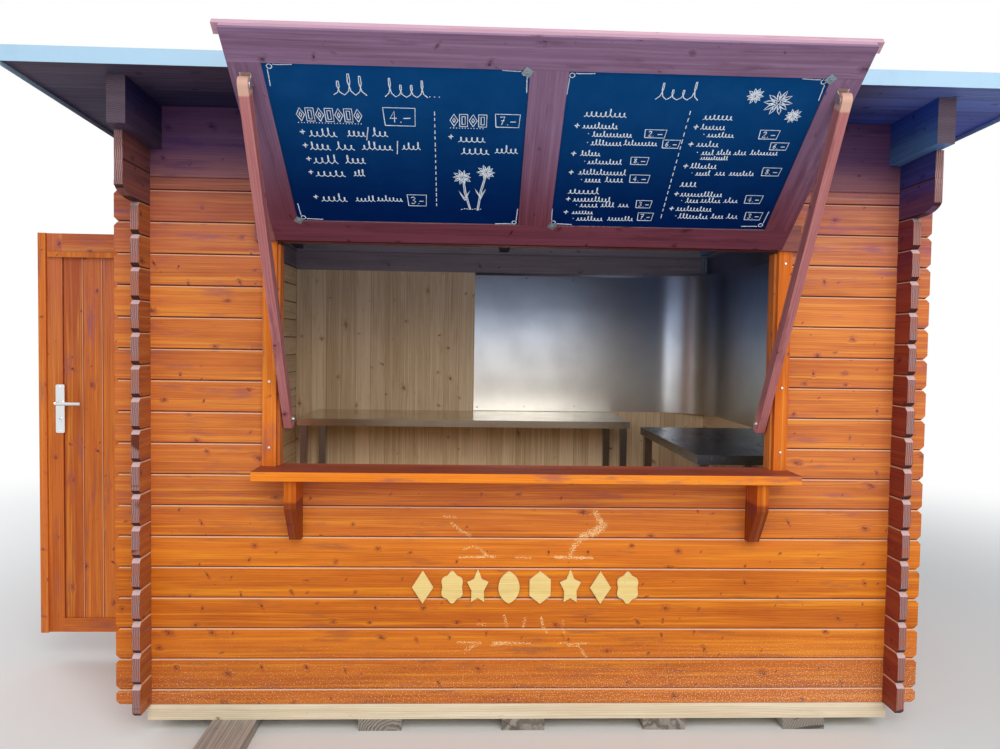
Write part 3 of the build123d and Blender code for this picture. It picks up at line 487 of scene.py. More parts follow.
def woodColour(finish, board, seed, wood, seamWidth, place=None, bands=()):
    tone = wood["Rings"] * finish["rings"]
    tone = timesPlus(wood["Fibre"], finish["fibre"], tone)
    tone = timesPlus(wood["Blotch"], finish["blotch"], tone)
    tone = timesPlus(seed - 0.5, finish["spread"] * 3, tone, clamp=True)
    colour = mixColour(tone, finish["light"], finish["dark"])
    layers = ((wood["Streak"] * finish["streak"], "glow"), (wood["Patch"] * finish["patch"], "bloom"),
              (wood["Fleck"] * 0.7, "knot"), (wood["Rim"] * 0.35, "dark"), (wood["Knot"], "knot"))
    for share, over in layers:
        colour = mixColour(share, colour, finish[over])
    for band in bands:
        colour = shadeBand(colour, place, band)
    # Painted highlight along each board's upper bevel, painted shade in the groove at its foot
    if seamWidth:
        for side, over, strength in (("Head", "bevelHighlight", 0.75), ("Foot", "seam", 0.92)):
            near = smoothRange(board[side], seamWidth * 0.8, seamWidth * 1.25, strength, 0.0)
            colour = mixColour(near, colour, finish[over])
    return colour


# Rubbed, chipped and stained strokes on the front, as a reach and a path in metres across and up
wear = {
    "pale": (0.88, 0.6, 0.29),
    "dark": (0.085, 0.018, 0.012),
    "dusty": (0.92, 0.58, 0.4),
    "rubbed": [
        (0.022, 0.95, [(0.258, 0.826), (0.27, 0.803), (0.29, 0.777)]),
        (0.03, 1.0, [(0.29, 0.777), (0.263, 0.757), (0.23, 0.744), (0.197, 0.725)]),
        (0.022, 0.85, [(0.197, 0.725), (0.176, 0.69), (0.165, 0.665)]),
        (0.012, 1.0, [(0.11, 0.658), (0.16, 0.656), (0.248, 0.655)]),
        (0.012, 0.8, [(-0.305, 0.808), (-0.262, 0.804)]),
        (0.015, 0.75, [(-0.278, 0.783), (-0.243, 0.755), (-0.211, 0.739)]),
        (0.013, 0.7, [(-0.23, 0.688), (-0.189, 0.698), (-0.167, 0.686)]),
        (0.012, 0.8, [(-0.166, 0.682), (-0.142, 0.66), (-0.114, 0.656)]),
        (0.008, 1.0, [(-0.247, 0.655), (-0.154, 0.657)]), (0.009, 0.8, [(-0.038, 0.656), (0.018, 0.654)]),
        (0.012, 0.7, [(-0.174, 0.405), (-0.15, 0.403)]), (0.013, 0.8, [(-0.076, 0.435), (-0.066, 0.395)]),
        (0.012, 0.8, [(0.001, 0.426), (-0.005, 0.395)]),
        (0.012, 0.8, [(0.061, 0.429), (0.069, 0.393), (0.083, 0.374)]),
        (0.01, 0.7, [(0.143, 0.419), (0.148, 0.375)]), (0.008, 0.9, [(-0.249, 0.335), (-0.163, 0.335)]),
        (0.008, 0.9, [(-0.119, 0.335), (0.02, 0.332)]), (0.014, 0.8, [(-0.215, 0.309), (-0.17, 0.33)]),
        (0.013, 0.8, [(-0.119, 0.324), (-0.064, 0.333), (-0.023, 0.331)]),
        (0.009, 0.9, [(0.13, 0.333), (0.158, 0.335)]),
        (0.012, 0.8, [(0.163, 0.326), (0.204, 0.322), (0.233, 0.28)]),
        (0.008, 0.8, [(0.176, 0.328), (0.239, 0.333)]),
    ],
    "stained": [
        (0.013, 1.0, [(0.138, 0.364), (0.147, 0.347)]),
        (0.01, 0.8, [(0.536, 0.268), (0.544, 0.222), (0.559, 0.172)]),
        (0.007, 0.6, [(0.15, 0.345), (0.153, 0.318)]),
    ],
}


def wornBy(point, strokes):
    mask = None
    for reach, strength, path in strokes:
        for start, end in zip(path, path[1:]):
            made = useGroup(stroke, {"Point": point, "From": (*start, 0), "To": (*end, 0), "Reach": reach,
                                     "Strength": strength})["Mask"]
            mask = calc("MAXIMUM", mask, made) if mask else made
    return mask


def addWear(colour, place):
    parts = apart(place)
    point = together(parts["X"], parts["Z"], 0.0)
    outside = parts["Y"] < frontFace + 0.01
    fine = stretchedNoise(point, (150.0, 270.0, 1.0), 3.0, 0.75)
    drift = (noise(point, 34.0) - 0.5) * 0.9
    for name, strokes, soft in (("pale", wear["rubbed"], 0.09), ("dark", wear["stained"], 0.2)):
        near = wornBy(point, strokes)
        level = timesPlus(near + drift * near, 0.22, fine)
        mask = smoothRange(level, 0.665, 0.665 + soft) * outside
        colour = mixColour(mask * smoothRange(near, 0.0, 0.3, 0.0, 0.92), colour, wear[name])
    low = smoothRange(parts["Z"], 0.1, 0.46, 1.0, 0.0)
    right = smoothRange(parts["X"], -0.4, 1.3, 0.0, 0.045)
    chance = timesPlus(low, 0.12, noise(point, 200.0, 2.0, 0.75)) + right
    specks = smoothRange(chance, 0.7, 0.75) * smoothRange(low, 0.0, 0.3)
    return mixColour(specks * outside * 0.7, colour, wear["dusty"])


def woodMaterial(name, finish, layout, turned=None, inner=None, bare=natural, bands=(), worn=False,
                 topTint=None, cut=None):
    material, shader, spot = newMaterial(name)
    place, normal = spot["Object"], spot["Normal"]
    point, way = turnedBy(layout, place, True), turnedBy(layout, normal, False)
    start, pitch = layout.get("start", -5.0), layout.get("pitch", 10.0)
    if turned:
        mask, other = turned["mask"](place), turned["layout"]
        point = mixVector(mask, point, turnedBy(other, place, True))
        way = mixVector(mask, way, turnedBy(other, normal, False))
        start = timesPlus(mask, other.get("start", -5.0) - start, start)
        pitch = timesPlus(mask, other.get("pitch", 10.0) - pitch, pitch)
    way = apart(way)
    facing, rise = abs(way["X"]), abs(way["Y"])
    board = useGroup(boards, {"Point": point, "Start": start, "Pitch": pitch, "Narrow": rise > 0.8})
    seed = calc("FRACT", board["Seed"] + layout.get("seed", 0.0))
    wood = useGroup(spruceGrain, {
        "Local": board["Local"], "Seed": seed, "Knot Size": finish["knotSize"],
        "Knot Share": finish["knotShare"], "Knot Step": finish["knotStep"], "Ring Step": finish["ringStep"]})
    colour = woodColour(finish, board, seed, wood, layout.get("seam"), place, bands)
    if inner:
        inside = woodColour(bare, board, seed, wood, layout.get("seam"))
        colour = mixColour(insideMask(place, *inner), colour, inside)

    # Sawn ends, and the bevels round them: a painted highlight on the bevels facing up, painted shade on
    # those facing down, and the dark wood colour on the side bevels
    sawn = useGroup(sawnEnd, {"Local": board["Local"], "Seed": seed, "Middle": layout.get("pitch", 0.1) / 2})
    end = mixColour(sawn["Rings"], finish["end"], finish["endDark"])
    end = mixColour(wood["Blotch"] * 0.5, end, finish["dark"])
    end = mixColour(sawn["Crack"], end, finish["knot"])
    edge = mixColour(way["Y"] > 0.3, finish["endBevelShade"], finish["endBevelHighlight"])
    edge = mixColour(rise > 0.3, finish["dark"], edge)
    end = mixColour(facing < 0.9, end, edge)
    colour = mixColour(facing > 0.6, colour, end)
    # Top faces tinted; on the shelf this is partly weathering, partly a painted sheen
    if topTint:
        colour = mixColour(apart(normal)["Z"] > 0.6, colour, topTint, blend="MULTIPLY")
    if worn:
        colour = addWear(colour, place)
    # A pale band at one end: on the flap boards a painted sky sheen along the free edge, on the props a pale
    # band at the top
    if cut:
        paleEndAndSheen = smoothRange(vectorCalc("DOT_PRODUCT", place, cut["axis"]), cut["none"], cut["full"])
        colour = mixColour(paleEndAndSheen, colour, cut["colour"])
    height = timesPlus(wood["Knot"], -1.0, timesPlus(wood["Fibre"], 0.5, wood["Rings"]))
    put(shader.inputs, {
        "Base Color": colour, "Roughness": timesPlus(wood["Fibre"], 0.14, finish["roughness"]),
        "Specular IOR Level": finish["specular"], "Normal": bumped(height, finish["bump"], 0.0006)})
    return material


def shaded(colour, share):
    return [min(1.0, c * share) for c in colour]


def steelMaterial(name, colour, roughness, brushAxis, brush=0.1, bands=(), wipe=0.0):
    material, shader, spot = newMaterial(name)
    place = spot["Object"]
    lines = stretchedNoise(place, [6.0 if axis == brushAxis else 400.0 for axis in "XYZ"], 2.0)
    smear = noise(place, 5.0, 3.0)
    scratch = stretchedNoise(place, (14.0, 90.0, 14.0), 4.0, 0.8)
    tint = mixColour(smoothRange(smear, 0.3, 0.8), colour, shaded(colour, 0.88))
    tint = mixColour(lines * 0.2, tint, shaded(colour, 0.72))
    tint = mixColour(smoothRange(scratch, 0.6, 0.7) * wipe, tint, shaded(colour, 1.9))
    for band in bands:
        tint = shadeBand(tint, place, band)
    gloss = timesPlus(lines, brush, timesPlus(smear, 0.1, roughness - 0.08))
    gloss = timesPlus(smoothRange(scratch, 0.68, 0.74), 0.15, gloss)
    put(shader.inputs, {"Metallic": 1.0, "Base Color": tint, "Roughness": gloss,
                        "Normal": bumped(lines, 0.12, 0.0002)})
    return material


def paintedMaterial(name, colour, roughness):
    material, shader, spot = newMaterial(name)
    grime = smoothRange(noise(spot["Object"], 6.0, 5.0, 0.65), 0.45, 0.85)
    put(shader.inputs, {
        "Base Color": mixColour(grime * 0.3, colour, shaded(colour, 0.72)),
        "Roughness": timesPlus(grime, 0.15, roughness), "Specular IOR Level": 0.3,
        "Normal": bumped(noise(spot["Object"], 3.0, 1.0), 0.3, 0.004)})
    return material


def slateMaterial():
    material, shader, spot = newMaterial("chalkboardSlate")
    place = spot["Object"]
    wiped = smoothRange(noise(place, 9.0, 5.0, 0.7), 0.35, 0.85)
    low = mixColour(wiped, (0.0004, 0.012, 0.082), (0.001, 0.018, 0.104))
    high = mixColour(wiped, (0.003, 0.054, 0.19), (0.007, 0.068, 0.225))
    put(shader.inputs, {
        "Base Color": mixColour(smoothRange(apart(place)["Z"], 1.87, 2.24), low, high),
        "Roughness": timesPlus(wiped, 0.15, 0.75), "Specular IOR Level": 0.01,
        "Normal": bumped(noise(place, 700.0), 0.15, 0.0003)})
    return material


def chalkMaterial():
    material, shader, spot = newMaterial("chalk")
    broken = smoothRange(noise(spot["Object"], 420.0, 3.0, 0.7), 0.3, 0.55)
    colour = mixColour(broken, (0.3, 0.44, 0.62), (0.86, 0.93, 1.0))
    put(shader.inputs, {"Base Color": colour, "Roughness": 0.95, "Specular IOR Level": 0.1})
    return material


def assign(material, *names):
    for name in names:
        if not nodes[name].material_slots:
            nodes[name].data.materials.append(material)
        for slot in nodes[name].material_slots:
            slot.material = material


# Boards and logs on named nodes: how they run, and what else their layout and material need
def cover(names, name, finish, run, seed=0.0, layout=None, **extras):
    assign(woodMaterial(name, finish, {"run": run, "seed": seed, **(layout or {})}, **extras), *names.split())


# Where the boards of each node run, worked out from the frame
frontFace = -1.2
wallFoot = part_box("front_wall_lower")[0].z
courseHeight = 0.114
logBevel = 0.0045
innerLow = (-1.3735, -1.1735, -1.0)
innerHigh = (1.3735, 1.1735, 5.0)
flapHinge = Vector(joints["flap_hinge"]["pos_m"])
flapTilt = math.radians(37)

# Places on the flap: across it, out from its hinge and down from its hinge pin
flapOut = Vector((0, -math.cos(flapTilt), math.sin(flapTilt)))
flapDown = Vector((0, -math.sin(flapTilt), -math.cos(flapTilt)))


def flapMatrix(down):
    columns = Matrix((Vector((1, 0, 0)), flapOut, flapDown)).transposed()
    return Matrix.Translation(flapHinge + flapDown * down) @ columns.to_4x4()


def flapRange(node, direction):
    found = [direction.dot(vertex.co - flapHinge) for vertex in nodes[node].data.vertices]
    return min(found), max(found)


boardStart, boardEnd = flapRange("chalkboards", flapOut)
skinStart, skinEnd = flapRange("flap_boards", flapOut)
boardFace = flapRange("chalkboards", flapDown)[1]
frameFace = flapRange("flap_frame", flapDown)[1]


def spread(node, axis, count):
    low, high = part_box(node)
    index = "XYZ".index(axis)
    return {"start": low[index], "pitch": (high[index] - low[index]) / count}


def between(axis, low, high):
    def build(place):
        value = apart(place)[axis]
        return (value > low) * (value < high)
    return build


def stileMask(place):
    out = vectorCalc("DOT_PRODUCT", vectorCalc("SUBTRACT", place, flapHinge), flapOut)
    return (out > boardStart - 0.001) * (out < boardEnd + 0.001)


def finishWalls():
    courses = {"pitch": courseHeight, "seam": logBevel}
    frontLogs = {"start": wallFoot + courseHeight / 2, **courses}
    sideLogs = {"start": wallFoot, **courses}
    inner = (innerLow, innerHigh)
    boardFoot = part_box("front_top_board")[0].z
    # Tints on the front logs: painted shade, darker and bluer, under the roof and just below the top board,
    # and a little darker towards both corners; painted light, lighter and bluer, towards the right; also more
    # orange towards the foot, and darker and bluer at the very foot
    heights = [tintBand("Z", 1.55, 1.95, (0.8, 0.84, 1.95)), tintBand("Z", 0.95, 0.6, (1.04, 0.96, 0.34)),
               tintBand("X", 0.85, 1.15, (1.07, 1.14, 1.35)),
               tintBand("X", 1.26, 1.4, (0.98, 0.94, 1.0), mirror=True),
               tintBand("Z", boardFoot - 0.09, boardFoot, (0.66, 0.74, 1.1)),
               tintBand("Z", 0.45, 0.15, (0.86, 0.88, 1.5))]
    cover("front_wall_lower", "frontLogs", stain, "XZ", layout=frontLogs, inner=inner, bands=heights,
          worn=True)
    cover("front_wall_left front_wall_right front_wall_upper", "upperLogs", stain, "XZ", layout=frontLogs,
          inner=inner, bands=heights)
    cover("back_wall", "backLogs", stain, "XZ", 0.37, frontLogs, inner=inner)
    # Painted shade on the side walls: darker on the log ends that reach out past the front wall (on the left
    # wall past the back wall too), and on the right wall darker and bluer towards the top
    cover("right_wall", "rightLogs", stain, "YZ", 0.21, sideLogs, inner=inner,
          bands=[tintBand("Y", -1.16, -1.21, (0.44, 0.26, 0.7)),
                 tintBand("Z", 1.45, 1.95, (0.62, 0.6, 1.7))])
    cover("left_wall_front left_wall_back", "leftLogs", stain, "YZ", 0.63, sideLogs, inner=inner,
          bands=[tintBand("Y", 1.16, 1.21, (0.66, 0.68, 0.95), mirror=True)])
    corbelFoot, corbelTop = (corner.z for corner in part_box("corbels_right"))
    # Painted shade on the right corbels: darker and bluer towards their outer end, and bluer and less red
    # towards their top; inside, both corbels take the painted-shade grey
    corbelShade = [tintBand("X", 1.2, 1.38, (0.55, 0.58, 1.7)),
             tintBand("Z", corbelFoot + 0.04, corbelTop - 0.06, (0.4, 1.3, 2.2))]
    for node, bands in (("corbels_left", ()), ("corbels_right", corbelShade)):
        cover(node, node + "Wood", brownStain, "YZ", 0.11, sideLogs, inner=inner, bare=paintedShadeGrey, bands=bands)
    # Painted shade on the top boards: bluer towards the roof and darker right under it; inside they take the
    # painted-shade grey
    cover("front_top_board back_top_board", "topBoardWood", cornerStain, "XZ", 0.44, inner=inner,
          bare=paintedShadeGrey, bands=[tintBand("Z", 1.88, 2.02, (0.68, 0.9, 2.3)),
                                tintBand("Z", 2.03, 2.16, (0.4, 0.42, 0.95))])
    # Purlins: painted shade, darker towards the top, and painted bluish light, lighter and much bluer,
    # towards the right end
    cover("purlins", "purlinWood", beamStain, "YZ", 0.7,
          bands=[tintBand("Z", 2.14, 2.27, (0.34, 0.42, 1.0)), tintBand("X", 0.9, 1.3, (1.3, 4.5, 5.0))])
    # Roof boards: painted shade, darker from the front edge inwards, and painted bluish light, lighter and
    # much bluer, towards the right
    cover("roof_boards", "roofBoardWood", roofStainAndSkySheen, "XY", 0.0,
          {**spread("roof_boards", "Y", 26), "seam": 0.002},
          bands=[tintBand("Y", -1.56, -1.22, (0.4, 0.42, 0.8)), tintBand("X", 0.9, 1.35, (1.7, 3.2, 5.0))])
    cover("floor_boards", "floorWood", natural, "XY", 0.0,
          {**spread("floor_boards", "Y", 20), "seam": 0.0015})
    cover("floor_joists", "joistWood", rawBeam, "YZ", 0.2)
    cover("base_beams", "baseWood", rawBeam, "XZ", 0.4)
    cover("sleepers", "sleeperWood", greySleeper, "YX", layout=spread("sleepers", "X", 5))
    # Back lining: painted shade, darker towards the top
    cover("back_lining", "liningWood", natural, "ZX", 0.0, {**spread("back_lining", "X", 28), "seam": 0.0018},
          bands=[tintBand("Z", 1.2, 1.9, (0.66, 0.68, 0.8))])
    cover("back_lining_band", "bandWood", paintedShadeGrey, "XZ", 0.3)
    print("walls and roof finished")


def finishJoinery():
    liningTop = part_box("hatch_lining")[1].z
    # Painted shadow of the flap, dark along the top of the hatch lining
    cover("hatch_lining", "hatchLiningWood", stain, "ZX", 0.1,
          bands=[tintBand("Z", liningTop - 0.032, liningTop - 0.026, (0.2, 0.13, 0.55))],
          turned={"layout": {"run": "XZ"}, "mask": between("Z", liningTop - 0.02, liningTop + 0.1)})
    cover("hatch_casings", "casingWood", casingStain, "ZX", 0.52)
    cover("hatch_head_board", "headBoardWood", headStain, "XZ", 0.83)
    # The shelf's top faces are darker and bluer: partly weathering, partly a painted bluish sheen of the sky
    cover("counter_shelf", "shelfWood", shelfStain, "XY", 0.27, topTint=(0.4, 0.28, 1.5))
    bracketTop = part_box("shelf_brackets")[1].z
    # Painted shade on the brackets' lower, sloping faces, which face down
    cover("shelf_brackets", "bracketWood", bracketStain, "ZX", 0.35,
          bands=[tintBand("Z", bracketTop - 0.07, bracketTop - 0.085, (0.5, 0.42, 0.9))])

    leafLow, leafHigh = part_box("door_leaf_frame")
    rails = between("X", leafLow.x + 0.098, leafHigh.x - 0.058)
    stiles = {"run": "ZX", "start": leafLow.x + 0.1 - 10.0}
    # Painted bluish shade towards the top of the door
    doorTopShade = [tintBand("Z", 1.0, 1.85, (0.96, 1.02, 2.1))]
    cover("door_leaf_frame", "leafFrameWood", trimStain, "XZ", 0.15, bands=doorTopShade,
          turned={"layout": stiles, "mask": lambda place: 1.0 - rails(place)})
    cover("door_planks", "doorPlankWood", plankStain, "ZX", 0.4,
          {**spread("door_planks", "X", 6), "seam": 0.0025}, bands=doorTopShade)
    cover("door_trim", "doorTrimWood", trimStain, "ZX", 0.6)
    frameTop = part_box("door_frame")[1].z
    cover("door_frame", "doorFrameWood", trimStain, "ZY", 0.9,
          turned={"layout": {"run": "YZ"}, "mask": between("Z", frameTop - 0.031, frameTop + 0.1)})

    # On the flap the Y axis of the turned place runs back towards the hinge
    flat = {"tilt": flapTilt, "pivot": flapHinge}
    edge = flapOut.dot(flapHinge) + skinEnd
    # Flap boards, with a painted pinkish sky sheen along their free edge
    cover("flap_boards", "flapBoardWood", cornerStain, "XY",
          layout={**flat, "start": -skinEnd, "pitch": (skinEnd - skinStart) / 7, "seam": 0.002},
          cut={"axis": flapOut, "none": edge - 0.006, "full": edge - 0.002, "colour": (0.45, 0.27, 0.34)})
    # The batten's pale pink is a painted sky reflection
    cover("flap_batten", "battenWood", palePink, "XY", 0.2, flat)
    # Painted sky sheen on the flap frame: violet at the top rail, redder and darker lower down
    cover("flap_frame", "flapFrameWood", flapStainAndSkySheen, "XY", layout={**flat, "start": -0.8, "pitch": 0.4},
          bands=[tintBand("Z", 2.15, 1.85, (0.66, 0.29, 0.27))],
          turned={"layout": {**flat, "run": "YX", "start": -3.0, "pitch": 3.0}, "mask": stileMask})
    for name in ("prop_left", "prop_right"):
        low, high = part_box(name)
        angle = math.atan2(high.z - low.z, -(high.y - low.y))
        run = Vector((0, low.y - high.y, high.z - low.z)).normalized()
        top = run.dot(Vector((0, low.y, high.z)))
        cover(name, name + "Wood", propStain, "YX", layout={"tilt": math.pi - angle, "pivot": low},
              cut={"axis": run, "none": top - 0.062, "full": top - 0.054, "colour": (0.62, 0.37, 0.29)})
    print("joinery finished")


def finishMetal():
    assign(slateMaterial(), "chalkboards")
    assign(paintedMaterial("roofPaint", (0.38, 0.56, 0.72), 0.5), "roof_sheet", "roof_trims")
    assign(splashSteel, "splash_sheet")
    assign(steelMaterial("tableSteel", (0.74, 0.69, 0.6), 0.2, "X"), "back_table_top")
    assign(steelMaterial("sideTableSteel", (0.21, 0.27, 0.36), 0.24, "Y", wipe=0.5), "side_table_top")
    legSteel = steelMaterial("tableLegSteel", (0.35, 0.36, 0.38), 0.2, "Z")
    assign(legSteel, "back_table_legs", "side_table_legs")
    assign(zinc, "head_hinges", "flap_hinges", "jamb_hinges", "leaf_hinges", "prop_stays", "prop_bolt_left",
           "prop_bolt_right")
    assign(handleSteel, "door_plates", "door_lever")
    print("metal finished")


zinc = steelMaterial("zincPlate", (0.72, 0.73, 0.74), 0.34, "X")
clipZinc = steelMaterial("clipZinc", (0.34, 0.44, 0.5), 0.4, "X")
handleSteel = steelMaterial("handleSteel", (0.8, 0.81, 0.82), 0.22, "Z", 0.05)
# Near-black steel that stands for painted shade in the keyhole
keyholeShade = steelMaterial("keyholeShade", (0.06, 0.06, 0.065), 0.5, "Z")
# Painted reflections on the steel sheet: warm and pale low down, bluer higher up, lighter towards the corner
# and darker round the bend
splashSteel = steelMaterial("splashSteel", (0.84, 0.82, 0.77), 0.3, "Z", bands=[
    tintBand("Z", 1.05, 1.85, (0.5, 0.63, 0.92)), tintBand("X", 0.7, 1.0, (1.0, 1.04, 1.12)),
    tintBand("X", 1.18, 1.36, (0.58, 0.6, 0.58))])
chalk = chalkMaterial()


def pick(*pieces):
    bpy.ops.object.select_all(action="DESELECT")
    for piece in pieces:
        piece.select_set(True)
    bpy.context.view_layer.objects.active = pieces[0]


# A finished mesh is put in its place, and rides on its body
def settle(piece, name, place, body, material):
    pick(piece)
    piece.matrix_world = place
    bpy.ops.object.transform_apply(location=True, rotation=True, scale=True)
    piece.name = name
    piece.data.name = name
    piece.data.materials.clear()
    piece.data.materials.append(material)
    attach(piece, body)


def curveMesh(name, lines, closed=False, **settings):
    curve = bpy.data.curves.new(name, "CURVE")
    for key, value in settings.items():
        setattr(curve, key, value)
    for points in lines:
        spline = curve.splines.new("POLY")
        spline.points.add(len(points) - 1)
        for spot, point in zip(spline.points, points):
            spot.co = (*point, 0.0, 1.0)
        spline.use_cyclic_u = closed
    made = bpy.data.objects.new(name, curve)
    bpy.context.scene.collection.objects.link(made)
    pick(made)
    bpy.ops.object.convert(target="MESH")
    return bpy.context.object


def flatPlate(name, outline, thickness, **settings):
    return curveMesh(name, [outline], closed=True, dimensions="2D", fill_mode="BOTH", extrude=thickness / 2,
                     **settings)


# Chalk on the two boards: wavy strokes stand for the writing, in millimetres from the hinge's middle
chalkMarks = {
    "width": 1.6,
    "titles": [(-626, 606, 97, 67), (-476, 604, 125, 59), (321, 620, 127, 58)],
    "headings": [(-747, 511, 200, 47), (-287, 505, 116, 44)],
    "words": [
        (-721, 454, 86, 31), (-604, 458, 57, 31), (-527, 460, 48, 31), (-726, 403, 64, 32),
        (-645, 405, 58, 33), (-564, 408, 96, 32), (-439, 412, 58, 28), (-724, 349, 78, 34),
        (-622, 352, 64, 34), (-725, 296, 96, 35), (-602, 300, 36, 27), (-722, 188, 86, 33),
        (-608, 191, 65, 25), (-537, 194, 87, 24), (-262, 447, 84, 31), (-253, 400, 88, 33),
        (-147, 407, 72, 29), (118, 553, 128, 27), (118, 510, 109, 21), (152, 480, 124, 20),
        (152, 447, 97, 21), (255, 450, 106, 21), (125, 405, 63, 21), (151, 373, 111, 21), (128, 329, 155, 22),
        (151, 297, 54, 23), (218, 299, 61, 23), (103, 246, 103, 29), (123, 212, 128, 22), (149, 187, 62, 22),
        (221, 189, 46, 22), (280, 191, 36, 21), (126, 155, 73, 20), (145, 124, 92, 22), (253, 127, 90, 22),
        (481, 553, 90, 25), (482, 517, 76, 20), (509, 489, 84, 20), (485, 452, 70, 21), (509, 420, 39, 19),
        (557, 422, 46, 19), (612, 423, 40, 19), (664, 425, 89, 19), (510, 401, 89, 15), (486, 365, 86, 21),
        (511, 336, 47, 20), (574, 338, 34, 20), (621, 339, 82, 20), (471, 287, 55, 28), (481, 245, 143, 21),
        (506, 217, 44, 22), (556, 219, 69, 21), (635, 221, 49, 21), (482, 179, 123, 22), (497, 144, 104, 22),
        (611, 147, 44, 22), (665, 148, 40, 23),
    ],
    "boxes": [
        (-487, 502, 96, 64), (-434, 176, 64, 49), (-150, 506, 75, 47), (313, 481, 67, 30), (376, 443, 55, 31),
        (288, 375, 57, 29), (298, 300, 65, 32), (339, 189, 53, 33), (355, 130, 53, 36), (670, 487, 61, 33),
        (718, 446, 57, 28), (725, 341, 61, 33), (705, 220, 58, 35), (727, 144, 59, 35),
    ],
    "bullets": [
        (-739, 471), (-739, 420), (-737, 367), (-739, 313), (-739, 207), (-285, 466), (101, 519), (103, 413),
        (104, 337), (107, 222), (106, 162), (467, 525), (467, 460), (471, 373), (468, 255), (466, 189),
    ],
    "dots": [
        (140, 490), (141, 457), (142, 383), (141, 307), (138, 196), (134, 133), (498, 499), (495, 429),
        (498, 346), (492, 226), (488, 155), (-345, 607), (-331, 607), (-317, 607),
    ],
    "bars": [((-537, 494), (-546, 445)), ((-451, 445), (-455, 394))],
    "dividers": [((-333, 557), (-337, 166)), ((436, 583), (438, 135))],
    "flowers": [(-250, 305, 31), (-172, 328, 30), (615, 640, 27), (692, 620, 44), (751, 574, 26)],
    "stems": [((-248, 290), (-243, 240), (-225, 165)), ((-176, 312), (-190, 250), (-200, 161))],
    "corners": [
        (-796, 694, 1, -1), (-70, 694, -1, -1), (-796, 112, 1, 1), (-70, 108, -1, 1), (66, 692, 1, -1),
        (800, 694, -1, -1), (66, 112, 1, 1), (796, 120, -1, 1),
    ],
    "digits": "437268437268",
}

digitStrokes = {
    "2": [[(0, .8), (.3, 1), (.7, .95), (.8, .7), (0, 0), (.9, .02)]],
    "3": [[(0, .9), (.5, 1), (.8, .78), (.35, .55), (.85, .3), (.5, 0), (0, .1)]],
    "4": [[(.6, 0), (.65, 1), (0, .35), (.95, .38)]],
    "6": [[(.75, 1), (.2, .6), (.05, .2), (.4, 0), (.8, .2), (.6, .5), (.1, .35)]],
    "7": [[(0, .95), (.85, 1), (.3, 0)], [(.2, .5), (.8, .53)]],
    "8": [[(.5, .55), (.1, .8), (.5, 1), (.85, .8), (.1, .25), (.5, 0), (.9, .25), (.5, .55)]],
}


def scribble(x, y, length, height, dice):
    steps, turns = 7, max(2, round(length / (height * 0.52)))
    points = []
    for step in range(turns * steps + 1):
        phase = step / steps
        if step % steps == 0:
            rise = dice.choice((0.55, 0.6, 0.66, 0.72, 1.0, 0.62, 1.1))
        lean = 0.16 * math.sin(2 * math.pi * phase)
        points.append((x + length * (phase / turns) + height * lean,
                       y + height * rise * (0.5 - 0.5 * math.cos(2 * math.pi * phase))))
    return points


def turned(x, y, *spots):
    return [(x + reach * math.cos(turn), y + reach * math.sin(turn)) for reach, turn in spots]


def frameLine(left, low, right, top):
    return [(left, low), (left, top), (right, top), (right, low), (left, low)]


def lozengeLine(left, low, right, top):
    middle, half = (left + right) / 2, (low + top) / 2
    return [(middle, low), (left, half), (middle, top), (right, half), (middle, low)]


def headingLines(x, y, length, height):
    count = round(length / (height * 0.62))
    step = length / count
    lines = []
    for index in range(count):
        left, right, top = x + index * step, x + index * step + step * 0.84, y + height
        if index % 2:
            inset = step * 0.25
            lines += [frameLine(left, y, right, top), frameLine(left + inset, y + 8, right - inset, top - 8)]
        else:
            lines += [lozengeLine(left, y, right, top), lozengeLine(left + 8, y + 14, right - 8, top - 14)]
    return lines + [[(x + index * 9, y - 6), (x + index * 9 + 3, y - 6)] for index in range(int(length / 9))]


def boxLines(index, x, y, width, height):
    digit = chalkMarks["digits"][index % len(chalkMarks["digits"])]
    tall, wide, left = height * 0.62, height * 0.34, x + width * 0.2
    lines = [[(x + 3, y), (x, y + height), (x + width, y + height), (x + width - 2, y), (x + 3, y)]]
    lines += [[(left + wide * a, y + height * 0.19 + tall * b) for a, b in shape]
              for shape in digitStrokes[digit]]
    return lines + [[(left + wide * 1.4, y + height * 0.2), (left + wide * 1.55, y + height * 0.2)],
                    [(x + width * 0.62, y + height * 0.42), (x + width * 0.84, y + height * 0.44)]]


def flowerLines(x, y, reach, dice):
    lines = []
    for ring, (petals, near, far) in enumerate(((10, 0.34, 1.0), (8, 0.22, 0.66))):
        for index in range(petals):
            turn = 2 * math.pi * (index + ring / 2) / petals + dice.uniform(-0.08, 0.08)
            size = reach * far * dice.uniform(0.85, 1.05)
            lines.append(turned(x, y, (reach * near, turn - 0.3), (size * 0.7, turn - 0.16), (size, turn),
                                (size * 0.7, turn + 0.16), (reach * near, turn + 0.3)))
    return lines + [turned(x, y, *((reach * 0.16, turn) for turn in (0, 1.3, 2.6, 3.9, 5.2, 6.3)))]


